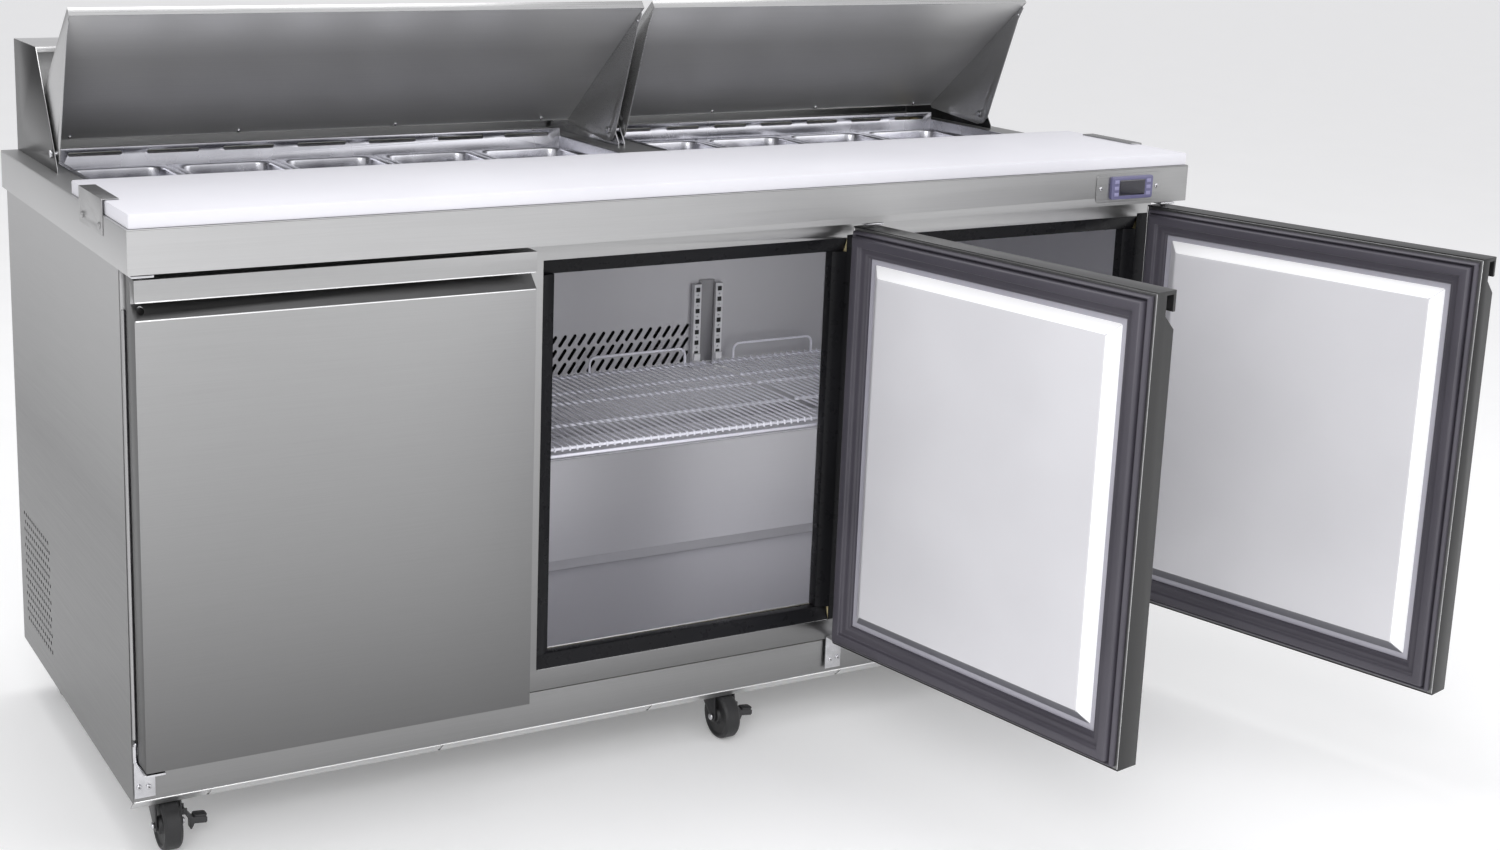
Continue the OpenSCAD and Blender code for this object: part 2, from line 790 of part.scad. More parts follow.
module door_gasket() {
    out = 6;
    ring = 38;
    along_y(door_t + gap, door_t + gasket_t) difference() {
        box2([out, door_w - out], [out, door_h - out]);
        box2([out + ring, door_w - out - ring], [out + ring, door_h - out - ring]);
    }
}

module on_left_door() {
    from_front() translate([hinge_x[0], hinge_y, 0]) door_place(0, false) children();
}

module on_middle_door() {
    from_front() translate([hinge_x[1], hinge_y, 0]) door_place(middle_open, true) children();
}

module on_right_door() {
    from_front() translate([hinge_x[2], hinge_y, 0]) door_place(right_open, true) children();
}

module left_door_skin() {
    color(steel) on_left_door() door_skin();
}

module left_door_liner() {
    color(white) on_left_door() door_liner();
}

module left_door_gasket() {
    color(dark) on_left_door() door_gasket();
}

module middle_door_skin() {
    color(steel) on_middle_door() door_skin();
}

module middle_door_liner() {
    color(white) on_middle_door() door_liner();
}

module middle_door_gasket() {
    color(dark) on_middle_door() door_gasket();
}

module right_door_skin() {
    color(steel) on_right_door() door_skin();
}

module right_door_liner() {
    color(white) on_right_door() door_liner();
}

module right_door_gasket() {
    color(dark) on_right_door() door_gasket();
}

// ---- Shelves ----

// A wire shelf, half as wide as its compartment either side of its middle
module shelf(half) {
    front = shelf_front;
    back = shelf_back;
    sink = 0.6;
    guard_h = 28;
    wires = floor(shelf_wires * half / shelf_half_mid / 2) * 2 + 1;
    pitch = (2 * half - 8) / (wires - 1);
    cross_y = [front + 4, front + 120, front + 240, back - 100, back - 3];
    // a round bar drawn as an octagon, from a to b
    module bar(a, b, r) {
        d = b - a;
        turn = d[0] != 0 ? [0, 90, 0] : d[1] != 0 ? [-90, 0, 0] : [0, 0, 0];
        translate(a) rotate(turn) cylinder(r = r, h = norm(d), $fn = 8);
    }
    rail_r = 2;
    low = -wire_r - rod_r + sink;
    color(bright) from_front() translate([0, 0, shelf_z - wire_r]) {
        for (i = [0:wires - 1]) {
            x = -half + 4 + i * pitch;
            bar([x, front, 0], [x, back, 0], wire_r);
        }
        for (y = cross_y) bar([-half, y, low], [half, y, low], rod_r);
        // lower rail along the front, welded under the grid
        bar([-half, front + 4, -15], [half, front + 4, -15], rail_r);
        for (x = [-half + 3, half - 3]) bar([x, front + 4, -15], [x, front + 4, low - rod_r - 0.05], rail_r);
        // two raised stretches of the back guard
        for (s = [-1, 1]) {
            a = s > 0 ? 54 : -half + 44;
            b = s > 0 ? half - 44 : -54;
            bar([a, back - 3, guard_h], [b, back - 3, guard_h], rail_r);
            for (x = [a + 2, b - 2]) bar([x, back - 3, wire_r + 0.05], [x, back - 3, guard_h], rail_r);
        }
    }
}

module shelf_left() {
    translate([-shelf_mid_end, 0, 0]) shelf(shelf_half_end);
}

module shelf_middle() {
    shelf(shelf_half_mid);
}

module shelf_right() {
    translate([shelf_mid_end, 0, 0]) shelf(shelf_half_end);
}

// ---- Refrigeration ----

// Fan with flat pitched blades on an axle along Z
module fan_blades(r, blades, bore) {
    hub_r = 17;
    difference() {
        cylinder(r = hub_r, h = 18, center = true);
        cylinder(r = bore, h = 30, center = true);
    }
    for (i = [0:blades - 1]) rotate([0, 0, i * 360 / blades]) translate([hub_r - 2, 0, 0])
        rotate([28, 0, 0]) translate([0, -14, -0.75]) cube([r - hub_r, 28, 1.5]);
}

module evaporator_fan() {
    color(black) from_front() translate(evap_fan) rotate([-90, 0, 0]) fan_blades(62, 5, fan_bore + fit);
}

// Stack of thin fins along X, solid inside, grooved all round
module fin_block(x, y, z, pitch) {
    groove = 4;
    along_y(y[0], y[1]) difference() {
        box2(x, z);
        for (v = [x[0] + pitch:pitch:x[1] - pitch / 2], e = [z[0], z[1]])
            translate([v, e]) square([pitch * 0.6, 2 * groove], center = true);
    }
}

module evaporator_coil() {
    x = [-260, 240];
    y = [632, 700];
    z = [470, 780];
    color("silver") from_front() {
        fin_block(x, y, z, 10);
        // return bends of the tubes
        for (e = [x[0] - 9.2, x[1] + 0.2], v = [1:3]) translate([0, 0, z[0] + v * 88])
            slab([e, e + 9], [y[0] + 8, y[1] - 8], [-36, -26]);
        // motor of the evaporator fan on its strap
        translate([evap_fan[0], 0, evap_fan[2]]) {
            rotate([-90, 0, 0]) translate([0, 0, evap_fan[1] + 14]) cylinder(r = 26, h = 40);
            rotate([-90, 0, 0]) translate([0, 0, evap_fan[1] - 9]) cylinder(r = fan_bore, h = 30);
            slab([-95, 95], [evap_fan[1] + 54.2, evap_fan[1] + 56.2], [-12, 12]);
        }
    }
}

module compressor() {
    x = -520;
    y = 610;
    r = 78;
    color(black) from_front() translate([x, y, base_z + 1.7]) {
        for (i = [-1, 1], j = [-1, 1]) translate([i * 70, j * 62, 0]) cylinder(r = 12, h = 14);
        translate([0, 0, 14.2]) linear_extrude(3) round_box2(180, 160, 16);
        translate([0, 0, 17.4]) cylinder(r = r, h = 120);
        translate([0, 0, 137.4]) cylinder(r1 = r, r2 = 36, h = 34, $fn = 40);
        translate([r + 0.4, -24, 50]) cube([22, 48, 56]);
    }
}

module condenser() {
    x = [-868, -812];
    y = [516, 736];
    z = [base_z + 2, 330];
    strut = 3;
    color("silver") from_front() {
        translate([x[0], 0, 0]) rotate([0, 0, 90]) fin_block(y, [x[0] - x[1], 0], z, 8);
        // return bends of the tubes
        for (e = [y[0] - 9.2, y[1] + 0.2], v = [1:3]) translate([0, 0, z[0] + v * 66])
            slab([x[0] + 8, x[1] - 8], [e, e + 9], [-30, -20]);
        // fan motor, its shaft and the strut that holds it
        translate(cond_fan) rotate([0, 90, 0]) {
            translate([0, 0, 14]) cylinder(r = 32, h = 46);
            translate([0, 0, -10]) cylinder(r = fan_bore, h = 30);
        }
        slab([cond_fan[0] + 60.2, cond_fan[0] + 60.2 + strut], [cond_fan[1] - 12, cond_fan[1] + 12],
             [z[0], cond_fan[2] + 24]);
    }
}

module condenser_fan() {
    color(black) from_front() translate(cond_fan) rotate([0, 90, 0]) fan_blades(92, 5, fan_bore + fit);
}

// ---- Casters ----

module caster_plate() {
    plate = [70, 95, 3];
    race_r = 25;
    linear_plate_z = base_z - gap - plate[2];
    difference() {
        translate([0, 0, linear_plate_z]) linear_extrude(plate[2]) round_box2(plate[0], plate[1], 6);
        for (i = [-1, 1], j = [-1, 1]) translate([i * 27, j * 39, 0]) cylinder(r = 4.2, h = 200);
    }
    translate([0, 0, fork_top + 0.5]) cylinder(r = race_r, h = linear_plate_z - fork_top - 0.5);
    translate([0, 0, fork_top - 5]) cylinder(r = kingpin_r, h = 6);
}

module caster_plates() {
    color(steel) from_front() {
        for (x = front_x) translate([x, front_swivel_y, 0]) caster_plate();
        for (x = rear_x) translate([x, rear_swivel_y, 0]) caster_plate();
    }
}

module fork(braked) {
    crown_t = 4;
    leg_top = fork_top - 1.5;
    leg_front = 30;
    ear_t = 2.5;
    ear_high = 4.5;
    color(steel) difference() {
        union() {
            translate([0, 0, fork_top - crown_t]) cylinder(r = 27, h = crown_t);
            slab([-leg_in - leg_t, leg_in + leg_t], [0, leg_front], [fork_top - crown_t, fork_top - crown_t + 2.5]);
            for (s = [0, 1]) mirror([s, 0, 0]) along_x(leg_in, leg_in + leg_t) {
                polygon([
                    [-16, leg_top], [leg_front, leg_top], [leg_front + 2, 64], [caster_trail + 9, wheel_r],
                    [caster_trail - 9, wheel_r], [-16, fork_top - 14]
                ]);
                translate([caster_trail, wheel_r]) circle(9);
            }
            translate([0, caster_trail, wheel_r]) rotate([0, 90, 0])
                cylinder(r = axle_r, h = 2 * (leg_in + leg_t) + 5, center = true);
            // ears and pin of the brake pedal
            if (braked) {
                for (s = [0, 1]) translate([0, pedal_at[1], 0]) mirror([0, s, 0])
                    slab([pedal_at[0] - ear_high, -leg_in - leg_t / 2], [pedal_w / 2 + gap, pedal_w / 2 + gap + ear_t],
                         [pedal_at[2] - ear_high, pedal_at[2] + ear_high]);
                translate(pedal_at) rotate([90, 0, 0]) cylinder(r = 2, h = pedal_w + 7, center = true);
            }
        }
        translate([0, 0, fork_top - 10]) cylinder(r = kingpin_r + fit, h = 20);
    }
}

module caster_wheel() {
    tread = 6;
    color(black) translate([0, caster_trail, wheel_r]) rotate([0, 90, 0]) rotate_extrude() polygon([
        [axle_r + fit, -wheel_w / 2], [12, -wheel_w / 2], [14, -wheel_w / 2 + 5], [wheel_r - tread - 3, -wheel_w / 2 + 5],
        [wheel_r - tread, -wheel_w / 2 + 2], [wheel_r - 3, -wheel_w / 2 + 2], [wheel_r, -wheel_w / 2 + 6],
        [wheel_r, wheel_w / 2 - 6], [wheel_r - 3, wheel_w / 2 - 2], [wheel_r - tread, wheel_w / 2 - 2],
        [wheel_r - tread - 3, wheel_w / 2 - 5], [14, wheel_w / 2 - 5], [12, wheel_w / 2], [axle_r + fit, wheel_w / 2]
    ]);
}

// Bent arm beside the wheel, ending in a tread tab
module brake_pedal() {
    color(black) translate(pedal_at) rotate([90, 0, 180])
        translate([0, 0, -pedal_w / 2]) linear_extrude(pedal_w) difference() {
            union() {
                circle(3.7);
                polygon([
                    [9.5, -18], [10, -31], [12, -31], [16, -23], [33, -25], [35, -23], [35, -17], [33, -15],
                    [14, -13], [3.4, 0.5], [0.5, -3.4]
                ]);
            }
            circle(2 + fit);
        }
}

module front_caster(i) {
    from_front() translate([front_x[i], front_swivel_y, 0]) rotate([0, 0, front_turn]) children();
}

module rear_caster(i) {
    from_front() translate([rear_x[i], rear_swivel_y, 0]) children();
}

side_panels();
back_panel();
base_pan();
kick_panel();
front_frame();
breaker_strips();
insulation();
inner_liner();
evaporator_cover();
pilasters();
worktop();
hood();
lid_brackets();
lid_pivot_bolts();
well_liners();
divider_bars();
board_brackets();
controller();
keypad();
hinge_brackets();
evaporator_coil();
evaporator_fan();
compressor();
condenser();
condenser_fan();
cutting_board();
pans_left();
pans_right();
shelf_left();
shelf_middle();
shelf_right();
left_door_skin();
left_door_liner();
left_door_gasket();
middle_door_skin();
middle_door_liner();
middle_door_gasket();
right_door_skin();
right_door_liner();
right_door_gasket();
left_lid_shell();
left_lid_liner();
right_lid_shell();
right_lid_liner();
caster_plates();
front_caster(0) fork(true);  // fork_front_left
front_caster(1) fork(true);  // fork_front_middle
front_caster(2) fork(true);  // fork_front_right
rear_caster(0) fork(false);  // fork_rear_left
rear_caster(1) fork(false);  // fork_rear_middle
rear_caster(2) fork(false);  // fork_rear_right
front_caster(0) caster_wheel();  // wheel_front_left
front_caster(1) caster_wheel();  // wheel_front_middle
front_caster(2) caster_wheel();  // wheel_front_right
rear_caster(0) caster_wheel();  // wheel_rear_left
rear_caster(1) caster_wheel();  // wheel_rear_middle
rear_caster(2) caster_wheel();  // wheel_rear_right
front_caster(0) brake_pedal();  // brake_pedal_left
front_caster(1) brake_pedal();  // brake_pedal_middle
front_caster(2) brake_pedal();  // brake_pedal_right
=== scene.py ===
import math
import bpy, bmesh
from mathutils import Matrix, Vector


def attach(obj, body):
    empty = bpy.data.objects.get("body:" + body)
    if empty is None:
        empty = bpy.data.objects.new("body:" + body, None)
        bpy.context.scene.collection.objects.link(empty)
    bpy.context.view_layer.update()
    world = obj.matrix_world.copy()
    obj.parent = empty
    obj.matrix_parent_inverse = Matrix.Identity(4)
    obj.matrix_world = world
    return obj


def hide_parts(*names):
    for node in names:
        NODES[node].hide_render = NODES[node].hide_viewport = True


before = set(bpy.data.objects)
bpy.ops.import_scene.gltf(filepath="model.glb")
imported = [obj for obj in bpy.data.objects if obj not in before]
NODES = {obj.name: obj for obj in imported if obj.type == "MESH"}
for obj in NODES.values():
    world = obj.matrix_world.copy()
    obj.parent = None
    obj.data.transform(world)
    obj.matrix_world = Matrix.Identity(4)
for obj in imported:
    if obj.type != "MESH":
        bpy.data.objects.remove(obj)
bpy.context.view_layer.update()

# ---- sizes, in millimetres: x from the middle, y back from the apron's front face, z from the floor ----
DEPTH = 768.0
DOOR_W, DOOR_H, DOOR_T = 582.0, 691.0, 40.0
DOOR_Z = 161.0
DOORS = {  # hinge x, opening in degrees, hung on its right side
    "left": (-877.0, 0.0, False),
    "middle": (280.0, 99.6, True),
    "right": (877.0, 104.0, True),
}
HINGE_Y, HINGE_IN, HINGE_BACK = 28.0, 11.0, 12.0  # the axis, in from the door's edge and behind its face
LIP_H, GRIP_EDGE = 30.0, 55.0  # below the door's top: lower edge of its lip, and of the finger recess
DOOR_PITCH = 597.0
FRAME_Y = 74.0  # plane that the gaskets seal on
MOUTH_HALF, MOUTH_Z, BREAKER_W = 245.0, 208.0, 22.0
LINER_FRONT = 101.0
KICK_Y, BASE_Z = 78.0, 92.0
STEP_Y, STEP_Z, WALL_X = 424.5, 400.0, 846.0  # the step over the machine room, and the compartments' ends
POST_SPREAD, POST_FACE, POST_BACK, POST_Z = 22.5, 545.8, 555.8, 511.0
PAN_PITCH, PAN_RIM, PAN_ROW = 176.0, 174.6, 162.0
RIM_Z = 906.0
WELLS = {"left": (-842.0, 5), "right": (138.0, 4)}
WELL_MID = 479.0
SHELF_Z = 517.0
LID_SLOPE = math.radians(39.0)
PIVOT = (522.0, 948.0)  # the lids' axis: y and z, then where it lies in the lid's own u and v
PIVOT_U, PIVOT_V = 222.0, -97.0
LIDS = {"left": (-868.0, 74.5), "right": (93.5, 868.0)}


def P(x, y, z):
    """A point of the whole table, from the sizes' millimetres to the frame's metres."""
    return Vector((x / 1000.0, (y - DEPTH / 2) / 1000.0, z / 1000.0))


# ---- materials ----
def graph(name):
    """A new material with only a shader and its output."""
    m = bpy.data.materials.new(name)
    m.use_nodes = True
    nt = m.node_tree
    nt.nodes.clear()
    out = nt.nodes.new("ShaderNodeOutputMaterial")
    bsdf = nt.nodes.new("ShaderNodeBsdfPrincipled")
    nt.links.new(bsdf.outputs[0], out.inputs[0])
    return m, nt, bsdf


def coords(nt, scale=(1, 1, 1), yaw=0.0):
    tc = nt.nodes.new("ShaderNodeTexCoord")
    if yaw:
        turn = nt.nodes.new("ShaderNodeMapping")
        turn.inputs["Rotation"].default_value = (0, 0, -yaw)
        nt.links.new(tc.outputs["Object"], turn.inputs[0])
        src = turn.outputs[0]
    else:
        src = tc.outputs["Object"]
    mp = nt.nodes.new("ShaderNodeMapping")
    mp.inputs["Scale"].default_value = scale
    nt.links.new(src, mp.inputs[0])
    return mp.outputs[0]


def noise(nt, vec, scale, detail=2.0, rough=0.5):
    n = nt.nodes.new("ShaderNodeTexNoise")
    n.inputs["Scale"].default_value = scale
    n.inputs["Detail"].default_value = detail
    n.inputs["Roughness"].default_value = rough
    nt.links.new(vec, n.inputs["Vector"])
    return n.outputs[0]


def remap(nt, value, lo, hi, a=0.3, b=0.7):
    r = nt.nodes.new("ShaderNodeMapRange")
    r.inputs["From Min"].default_value = a
    r.inputs["From Max"].default_value = b
    r.inputs["To Min"].default_value = lo
    r.inputs["To Max"].default_value = hi
    nt.links.new(value, r.inputs[0])
    return r.outputs[0]


def tint(nt, value, dark, light, a=0.3, b=0.7):
    r = nt.nodes.new("ShaderNodeValToRGB")
    r.color_ramp.elements[0].position = a
    r.color_ramp.elements[1].position = b
    r.color_ramp.elements[0].color = (*dark, 1)
    r.color_ramp.elements[1].color = (*light, 1)
    nt.links.new(value, r.inputs[0])
    return r.outputs[0]


def bump(nt, bsdf, value, strength, distance=0.001):
    b = nt.nodes.new("ShaderNodeBump")
    b.inputs["Strength"].default_value = strength
    b.inputs["Distance"].default_value = distance
    nt.links.new(value, b.inputs["Height"])
    nt.links.new(b.outputs[0], bsdf.inputs["Normal"])


def steel(name, colour=0.40, rough=0.30, grain="X", yaw=0.0, spread=0.10, lines=0.02, painted_ramp=None, painted_facing=(),
          hue=(1.0, 1.0, 1.0), metal=1.0):
    """Brushed sheet with fine lines along one direction.

    A ramp (axis, from, to, shade, shade) paints light and shade that change slowly along the sheet. Each face
    entry (direction, other faces' shade, shade of the faces turned that way) paints light and shade by which
    way a face looks, with the two cosines between which one becomes the other if they aren't 0.55 and 0.75.
    """
    m, nt, s = graph(name)
    along = {"X": (7, 900, 900), "Y": (900, 7, 900), "Z": (900, 900, 7)}[grain]
    fine = noise(nt, coords(nt, along, yaw), 1.0, 2.0, 0.5)
    cloud = noise(nt, coords(nt, (1, 1, 1), yaw), 1.7, 2.0, 0.5)
    mix = nt.nodes.new("ShaderNodeMix")
    mix.inputs[0].default_value = 0.45
    nt.links.new(fine, mix.inputs[2])
    nt.links.new(cloud, mix.inputs[3])
    worn = mix.outputs[0]
    dark, light = colour * (1 - spread / 2), min(colour * (1 + spread / 2), 1.0)
    base = tint(nt, worn, [dark * h for h in hue], [light * h for h in hue])
    painted_shades = []
    # painted shade: a slow ramp and a shade by which way each face looks multiply the sheet's colour
    if painted_ramp:
        sep = nt.nodes.new("ShaderNodeSeparateXYZ")
        nt.links.new(coords(nt), sep.inputs[0])
        painted_shades.append(remap(nt, sep.outputs["XYZ".index(painted_ramp[0])], painted_ramp[3], painted_ramp[4], painted_ramp[1], painted_ramp[2]))
    for direction, others, turned, *span in painted_facing:
        dot = nt.nodes.new("ShaderNodeVectorMath")
        dot.operation = "DOT_PRODUCT"
        tc = nt.nodes.new("ShaderNodeTexCoord")
        nt.links.new(tc.outputs["Normal"], dot.inputs[0])
        dot.inputs[1].default_value = direction
        painted_shades.append(remap(nt, dot.outputs["Value"], others, turned, *(span or (0.55, 0.75))))
    for shade in painted_shades:
        mul = nt.nodes.new("ShaderNodeVectorMath")
        mul.operation = "SCALE"
        nt.links.new(base, mul.inputs[0])
        nt.links.new(shade, mul.inputs["Scale"])
        base = mul.outputs[0]
    nt.links.new(base, s.inputs["Base Color"])
    nt.links.new(remap(nt, fine, rough - 0.03, rough + 0.04), s.inputs["Roughness"])
    s.inputs["Metallic"].default_value = metal
    bump(nt, s, fine, lines, 0.0002)
    return m


def plastic(name, dark, light, rough=0.4, scale=60.0, grain=0.05, coat=0.0, deep=0.0006):
    """Plastic, rubber or paint: slow colour changes, and a fine grain of a given depth."""
    m, nt, s = graph(name)
    v = coords(nt)
    slow = noise(nt, v, 4.0, 2.0)
    fine = noise(nt, v, scale * 10, 3.0)
    nt.links.new(tint(nt, slow, dark, light), s.inputs["Base Color"])
    nt.links.new(remap(nt, fine, rough - 0.06, rough + 0.06), s.inputs["Roughness"])
    if coat:
        s.inputs["Coat Weight"].default_value = coat
        s.inputs["Coat Roughness"].default_value = 0.12
    bump(nt, s, fine, grain, deep)
    return m


def shiny(name, dark, light, rough=0.16, scale=30.0):
    """Bright metal without a grain."""
    m, nt, s = graph(name)
    v = coords(nt)
    slow = noise(nt, v, scale, 3.0)
    nt.links.new(tint(nt, slow, dark, light), s.inputs["Base Color"])
    nt.links.new(remap(nt, slow, rough - 0.04, rough + 0.08), s.inputs["Roughness"])
    s.inputs["Metallic"].default_value = 1.0
    bump(nt, s, noise(nt, v, scale * 12, 2.0), 0.04, 0.0004)
    return m


MID_YAW = math.radians(DOORS["middle"][1])
RIGHT_YAW = math.radians(DOORS["right"][1])


def front_of(yaw):
    """Which way a door's front face looks when it is open by an angle."""
    return (math.sin(yaw), -math.cos(yaw), 0.0)


def grip_shade(yaw):
    """The finger recess's sloping floor faces up and forward; faces turned that way get a painted shade."""
    return ((0.71 * math.sin(yaw), -0.71 * math.cos(yaw), 0.71), 1.0, 0.42, 0.86, 0.97)


LILAC = (0.985, 0.98, 1.02)  # the slight violet of the sheets inside
M = {
    # painted light: the worktop is lighter to the left, darker to the right, and a little lighter on its top
    # faces
    "apron": steel("steel_worktop", 0.50, 0.42, painted_ramp=("X", -0.9, 0.9, 1.10, 0.80), lines=0.03,
                   painted_facing=[((0, 0, 1), 1.0, 1.05)]),
    "steel": steel("steel_x", 0.40, 0.30),
    "shell": steel("steel_lid_shell", 0.52, 0.28, metal=0.85),
    # painted light: the kick's flange, turned forward and down, is 2.6 times lighter than its face
    "kick": steel("steel_kick", 0.27, 0.36, painted_facing=[((0, -0.71, -0.71), 1.0, 2.6, 0.85, 0.97)]),
    # painted shade: the front frame darkens towards the bottom
    "frame": steel("steel_frame", 0.40, 0.32, painted_ramp=("Z", 0.2, 0.8, 0.55, 1.10)),
    # painted shade: the doors darken towards the bottom, their faces other than the front and their finger
    # recesses' floors are darker, and the open doors' top faces are painted lighter
    "door_left": steel("steel_door_left", 0.44, 0.40, painted_ramp=("Z", 0.15, 0.85, 0.36, 1.0),
                       painted_facing=[(front_of(0), 0.40, 1.0), grip_shade(0)]),
    "door_middle": steel("steel_door_middle", 0.34, 0.34, yaw=MID_YAW, painted_ramp=("Z", 0.15, 0.85, 0.7, 1.0),
                         painted_facing=[(front_of(MID_YAW), 0.24, 1.0), grip_shade(MID_YAW), ((0, 0, 1), 1.0, 1.9)]),
    "door_right": steel("steel_door_right", 0.34, 0.34, yaw=RIGHT_YAW, painted_ramp=("Z", 0.15, 0.85, 0.7, 1.0),
                        painted_facing=[(front_of(RIGHT_YAW), 0.14, 1.0), grip_shade(RIGHT_YAW), ((0, 0, 1), 1.0, 1.9)]),
    # painted light: the top faces of the door's back rim are lighter
    "door_rim": steel("steel_door_rim", 0.22, 0.36, painted_facing=[((0, 0, 1), 1.0, 1.8)]),
    # painted highlight: near-white steel for the folded hems, standing for the bright lines of light along
    # them
    "hem": steel("steel_hem_painted_highlight", 0.95, 0.22, spread=0.04, lines=0.0, metal=0.6),
    # painted shade: the side panels darken towards the bottom
    "side": steel("steel_side", 0.50, 0.38, grain="Y", painted_ramp=("Z", 0.50, 0.92, 0.40, 1.0)),
    # painted light: the lids' inside is twice as light at its lower edge as at its top
    "lid_in": steel("steel_lid_inside", 0.46, 0.38, spread=0.12, lines=0.012, metal=0.55,
                    painted_ramp=("Z", 0.94, 1.09, 2.0, 1.0)),
    # painted light and shade: the hood's faces turned to the left are much darker, its top faces lighter
    "hood": steel("steel_hood", 0.55, 0.30, painted_facing=[((-1, 0, 0), 1.0, 0.12), ((0, 0, 1), 1.0, 1.75)]),
    "web": steel("post_web_sheet", 0.26, 0.44, spread=0.10, lines=0.015, hue=LILAC),
    # painted highlight: the step's top is a much lighter, less metallic copy of the liner sheet
    "step": steel("step_sheet_painted_highlight", 0.95, 0.40, spread=0.04, lines=0.01, hue=LILAC, metal=0.3),
    "galv": steel("galvanised", 0.40, 0.42, spread=0.30, lines=0.02),
    "liner": steel("liner_sheet", 0.66, 0.46, spread=0.06, lines=0.015, hue=LILAC),
    "cover": steel("cover_sheet", 0.52, 0.48, spread=0.06, lines=0.015, hue=LILAC),
    "pan": shiny("pan_steel", (0.44, 0.44, 0.47), (0.58, 0.58, 0.62), 0.20),
    "well": shiny("well_steel", (0.42, 0.42, 0.45), (0.56, 0.56, 0.60), 0.24, 12.0),
    "zinc": shiny("bright_zinc", (0.55, 0.55, 0.57), (0.72, 0.72, 0.74), 0.20, 60.0),
    "wire": plastic("wire_coat", (0.80, 0.80, 0.88), (0.86, 0.86, 0.94), 0.30, 40.0, 0.03, 0.3),
    "alu": shiny("aluminium_fin", (0.66, 0.67, 0.68), (0.78, 0.79, 0.80), 0.34, 40.0),
    "coil": shiny("painted_coil", (0.010, 0.010, 0.011), (0.018, 0.018, 0.019), 0.45, 40.0),
    "white": plastic("white_liner", (0.72, 0.715, 0.745), (0.78, 0.775, 0.805), 0.34, 30.0, 0.02, 0.2),
    # painted light and shade: lighter, darker and much darker copies of the white liner for the inner panel's
    # lit bevels, its flange and its lower bevels
    "white_lit": plastic("white_bevel_painted_highlight", (0.93, 0.93, 0.95), (0.97, 0.97, 0.98), 0.30, 30.0, 0.02, 0.2),
    "white_shade": plastic("white_lower_bevel_painted_shade", (0.17, 0.17, 0.19), (0.21, 0.21, 0.23), 0.36, 30.0, 0.02, 0.2),
    "white_low": plastic("white_flange_painted_shade", (0.44, 0.43, 0.49), (0.50, 0.49, 0.55), 0.36, 30.0, 0.02, 0.2),
    "post": plastic("white_post", (0.74, 0.74, 0.76), (0.84, 0.84, 0.86), 0.36, 30.0, 0.04),
    "board": plastic("board_white", (0.72, 0.715, 0.76), (0.77, 0.765, 0.81), 0.46, 70.0, 0.06, 0.0, 0.001),
    "black": plastic("breaker_black", (0.008, 0.008, 0.009), (0.014, 0.014, 0.016), 0.30, 6.0, 0.0, 0.0),
    "gasket": plastic("gasket_rubber", (0.058, 0.054, 0.068), (0.080, 0.074, 0.092), 0.42, 40.0, 0.05),
    "tyre": plastic("caster_tread", (0.012, 0.012, 0.013), (0.024, 0.024, 0.025), 0.50, 40.0, 0.12),
    "hub": plastic("caster_hub", (0.012, 0.012, 0.013), (0.022, 0.022, 0.024), 0.36, 40.0, 0.06),
    "pedal": plastic("pedal_rubber", (0.02, 0.02, 0.022), (0.04, 0.04, 0.042), 0.45, 40.0, 0.10),
    "paint": plastic("black_paint", (0.014, 0.014, 0.015), (0.03, 0.03, 0.03), 0.3, 30.0, 0.1, 0.4),
    "foam": plastic("foam", (0.55, 0.47, 0.26), (0.66, 0.57, 0.33), 0.8, 30.0, 0.5, 0.0, 0.002),
    "bezel": plastic("bezel_violet", (0.10, 0.095, 0.19), (0.14, 0.135, 0.25), 0.35, 50.0, 0.03, 0.2),
    "key": plastic("key_rubber", (0.22, 0.21, 0.36), (0.28, 0.27, 0.44), 0.45, 50.0, 0.05),
    "glass": plastic("display_glass", (0.006, 0.006, 0.012), (0.012, 0.011, 0.022), 0.12, 10.0, 0.0, 0.8),
    # painted shadow: near-black for the posts' slots and the screws' cross recesses
    "recess": plastic("painted_recess_shadow", (0.01, 0.01, 0.01), (0.02, 0.02, 0.02), 0.6, 40.0, 0.1),
}


def glow(material, strength):
    """Adds a little light of its own to a material."""
    s = material.node_tree.nodes["Principled BSDF"]
    s.inputs["Emission Color"].default_value = (1, 1, 1, 1)
    s.inputs["Emission Strength"].default_value = strength


# painted glow: the lit white bevels give off a little light of their own
glow(M["white_lit"], 0.16)
M["black"].node_tree.nodes["Principled BSDF"].inputs["Specular IOR Level"].default_value = 0.12


# ---- modifiers for carried-over nodes ----
def smooth_group():
    """Nodes that shade a mesh smooth, except at its sharp edges."""
    g = bpy.data.node_groups.new("smooth_by_angle", "GeometryNodeTree")
    g.interface.new_socket("Geometry", in_out="INPUT", socket_type="NodeSocketGeometry")
    g.interface.new_socket("Geometry", in_out="OUTPUT", socket_type="NodeSocketGeometry")
    i = g.nodes.new("NodeGroupInput")
    o = g.nodes.new("NodeGroupOutput")
    face = g.nodes.new("GeometryNodeSetShadeSmooth")
    edge = g.nodes.new("GeometryNodeSetShadeSmooth")
    edge.domain = "EDGE"
    edge.inputs["Shade Smooth"].default_value = False
    ang = g.nodes.new("GeometryNodeInputMeshEdgeAngle")
    cmp = g.nodes.new("FunctionNodeCompare")
    cmp.operation = "GREATER_THAN"
    cmp.inputs[1].default_value = math.radians(32)
    g.links.new(i.outputs[0], face.inputs[0])
    g.links.new(face.outputs[0], edge.inputs[0])
    g.links.new(ang.outputs[0], cmp.inputs[0])
    g.links.new(cmp.outputs[0], edge.inputs["Selection"])
    g.links.new(edge.outputs[0], o.inputs[0])
    return g


SMOOTH = smooth_group()


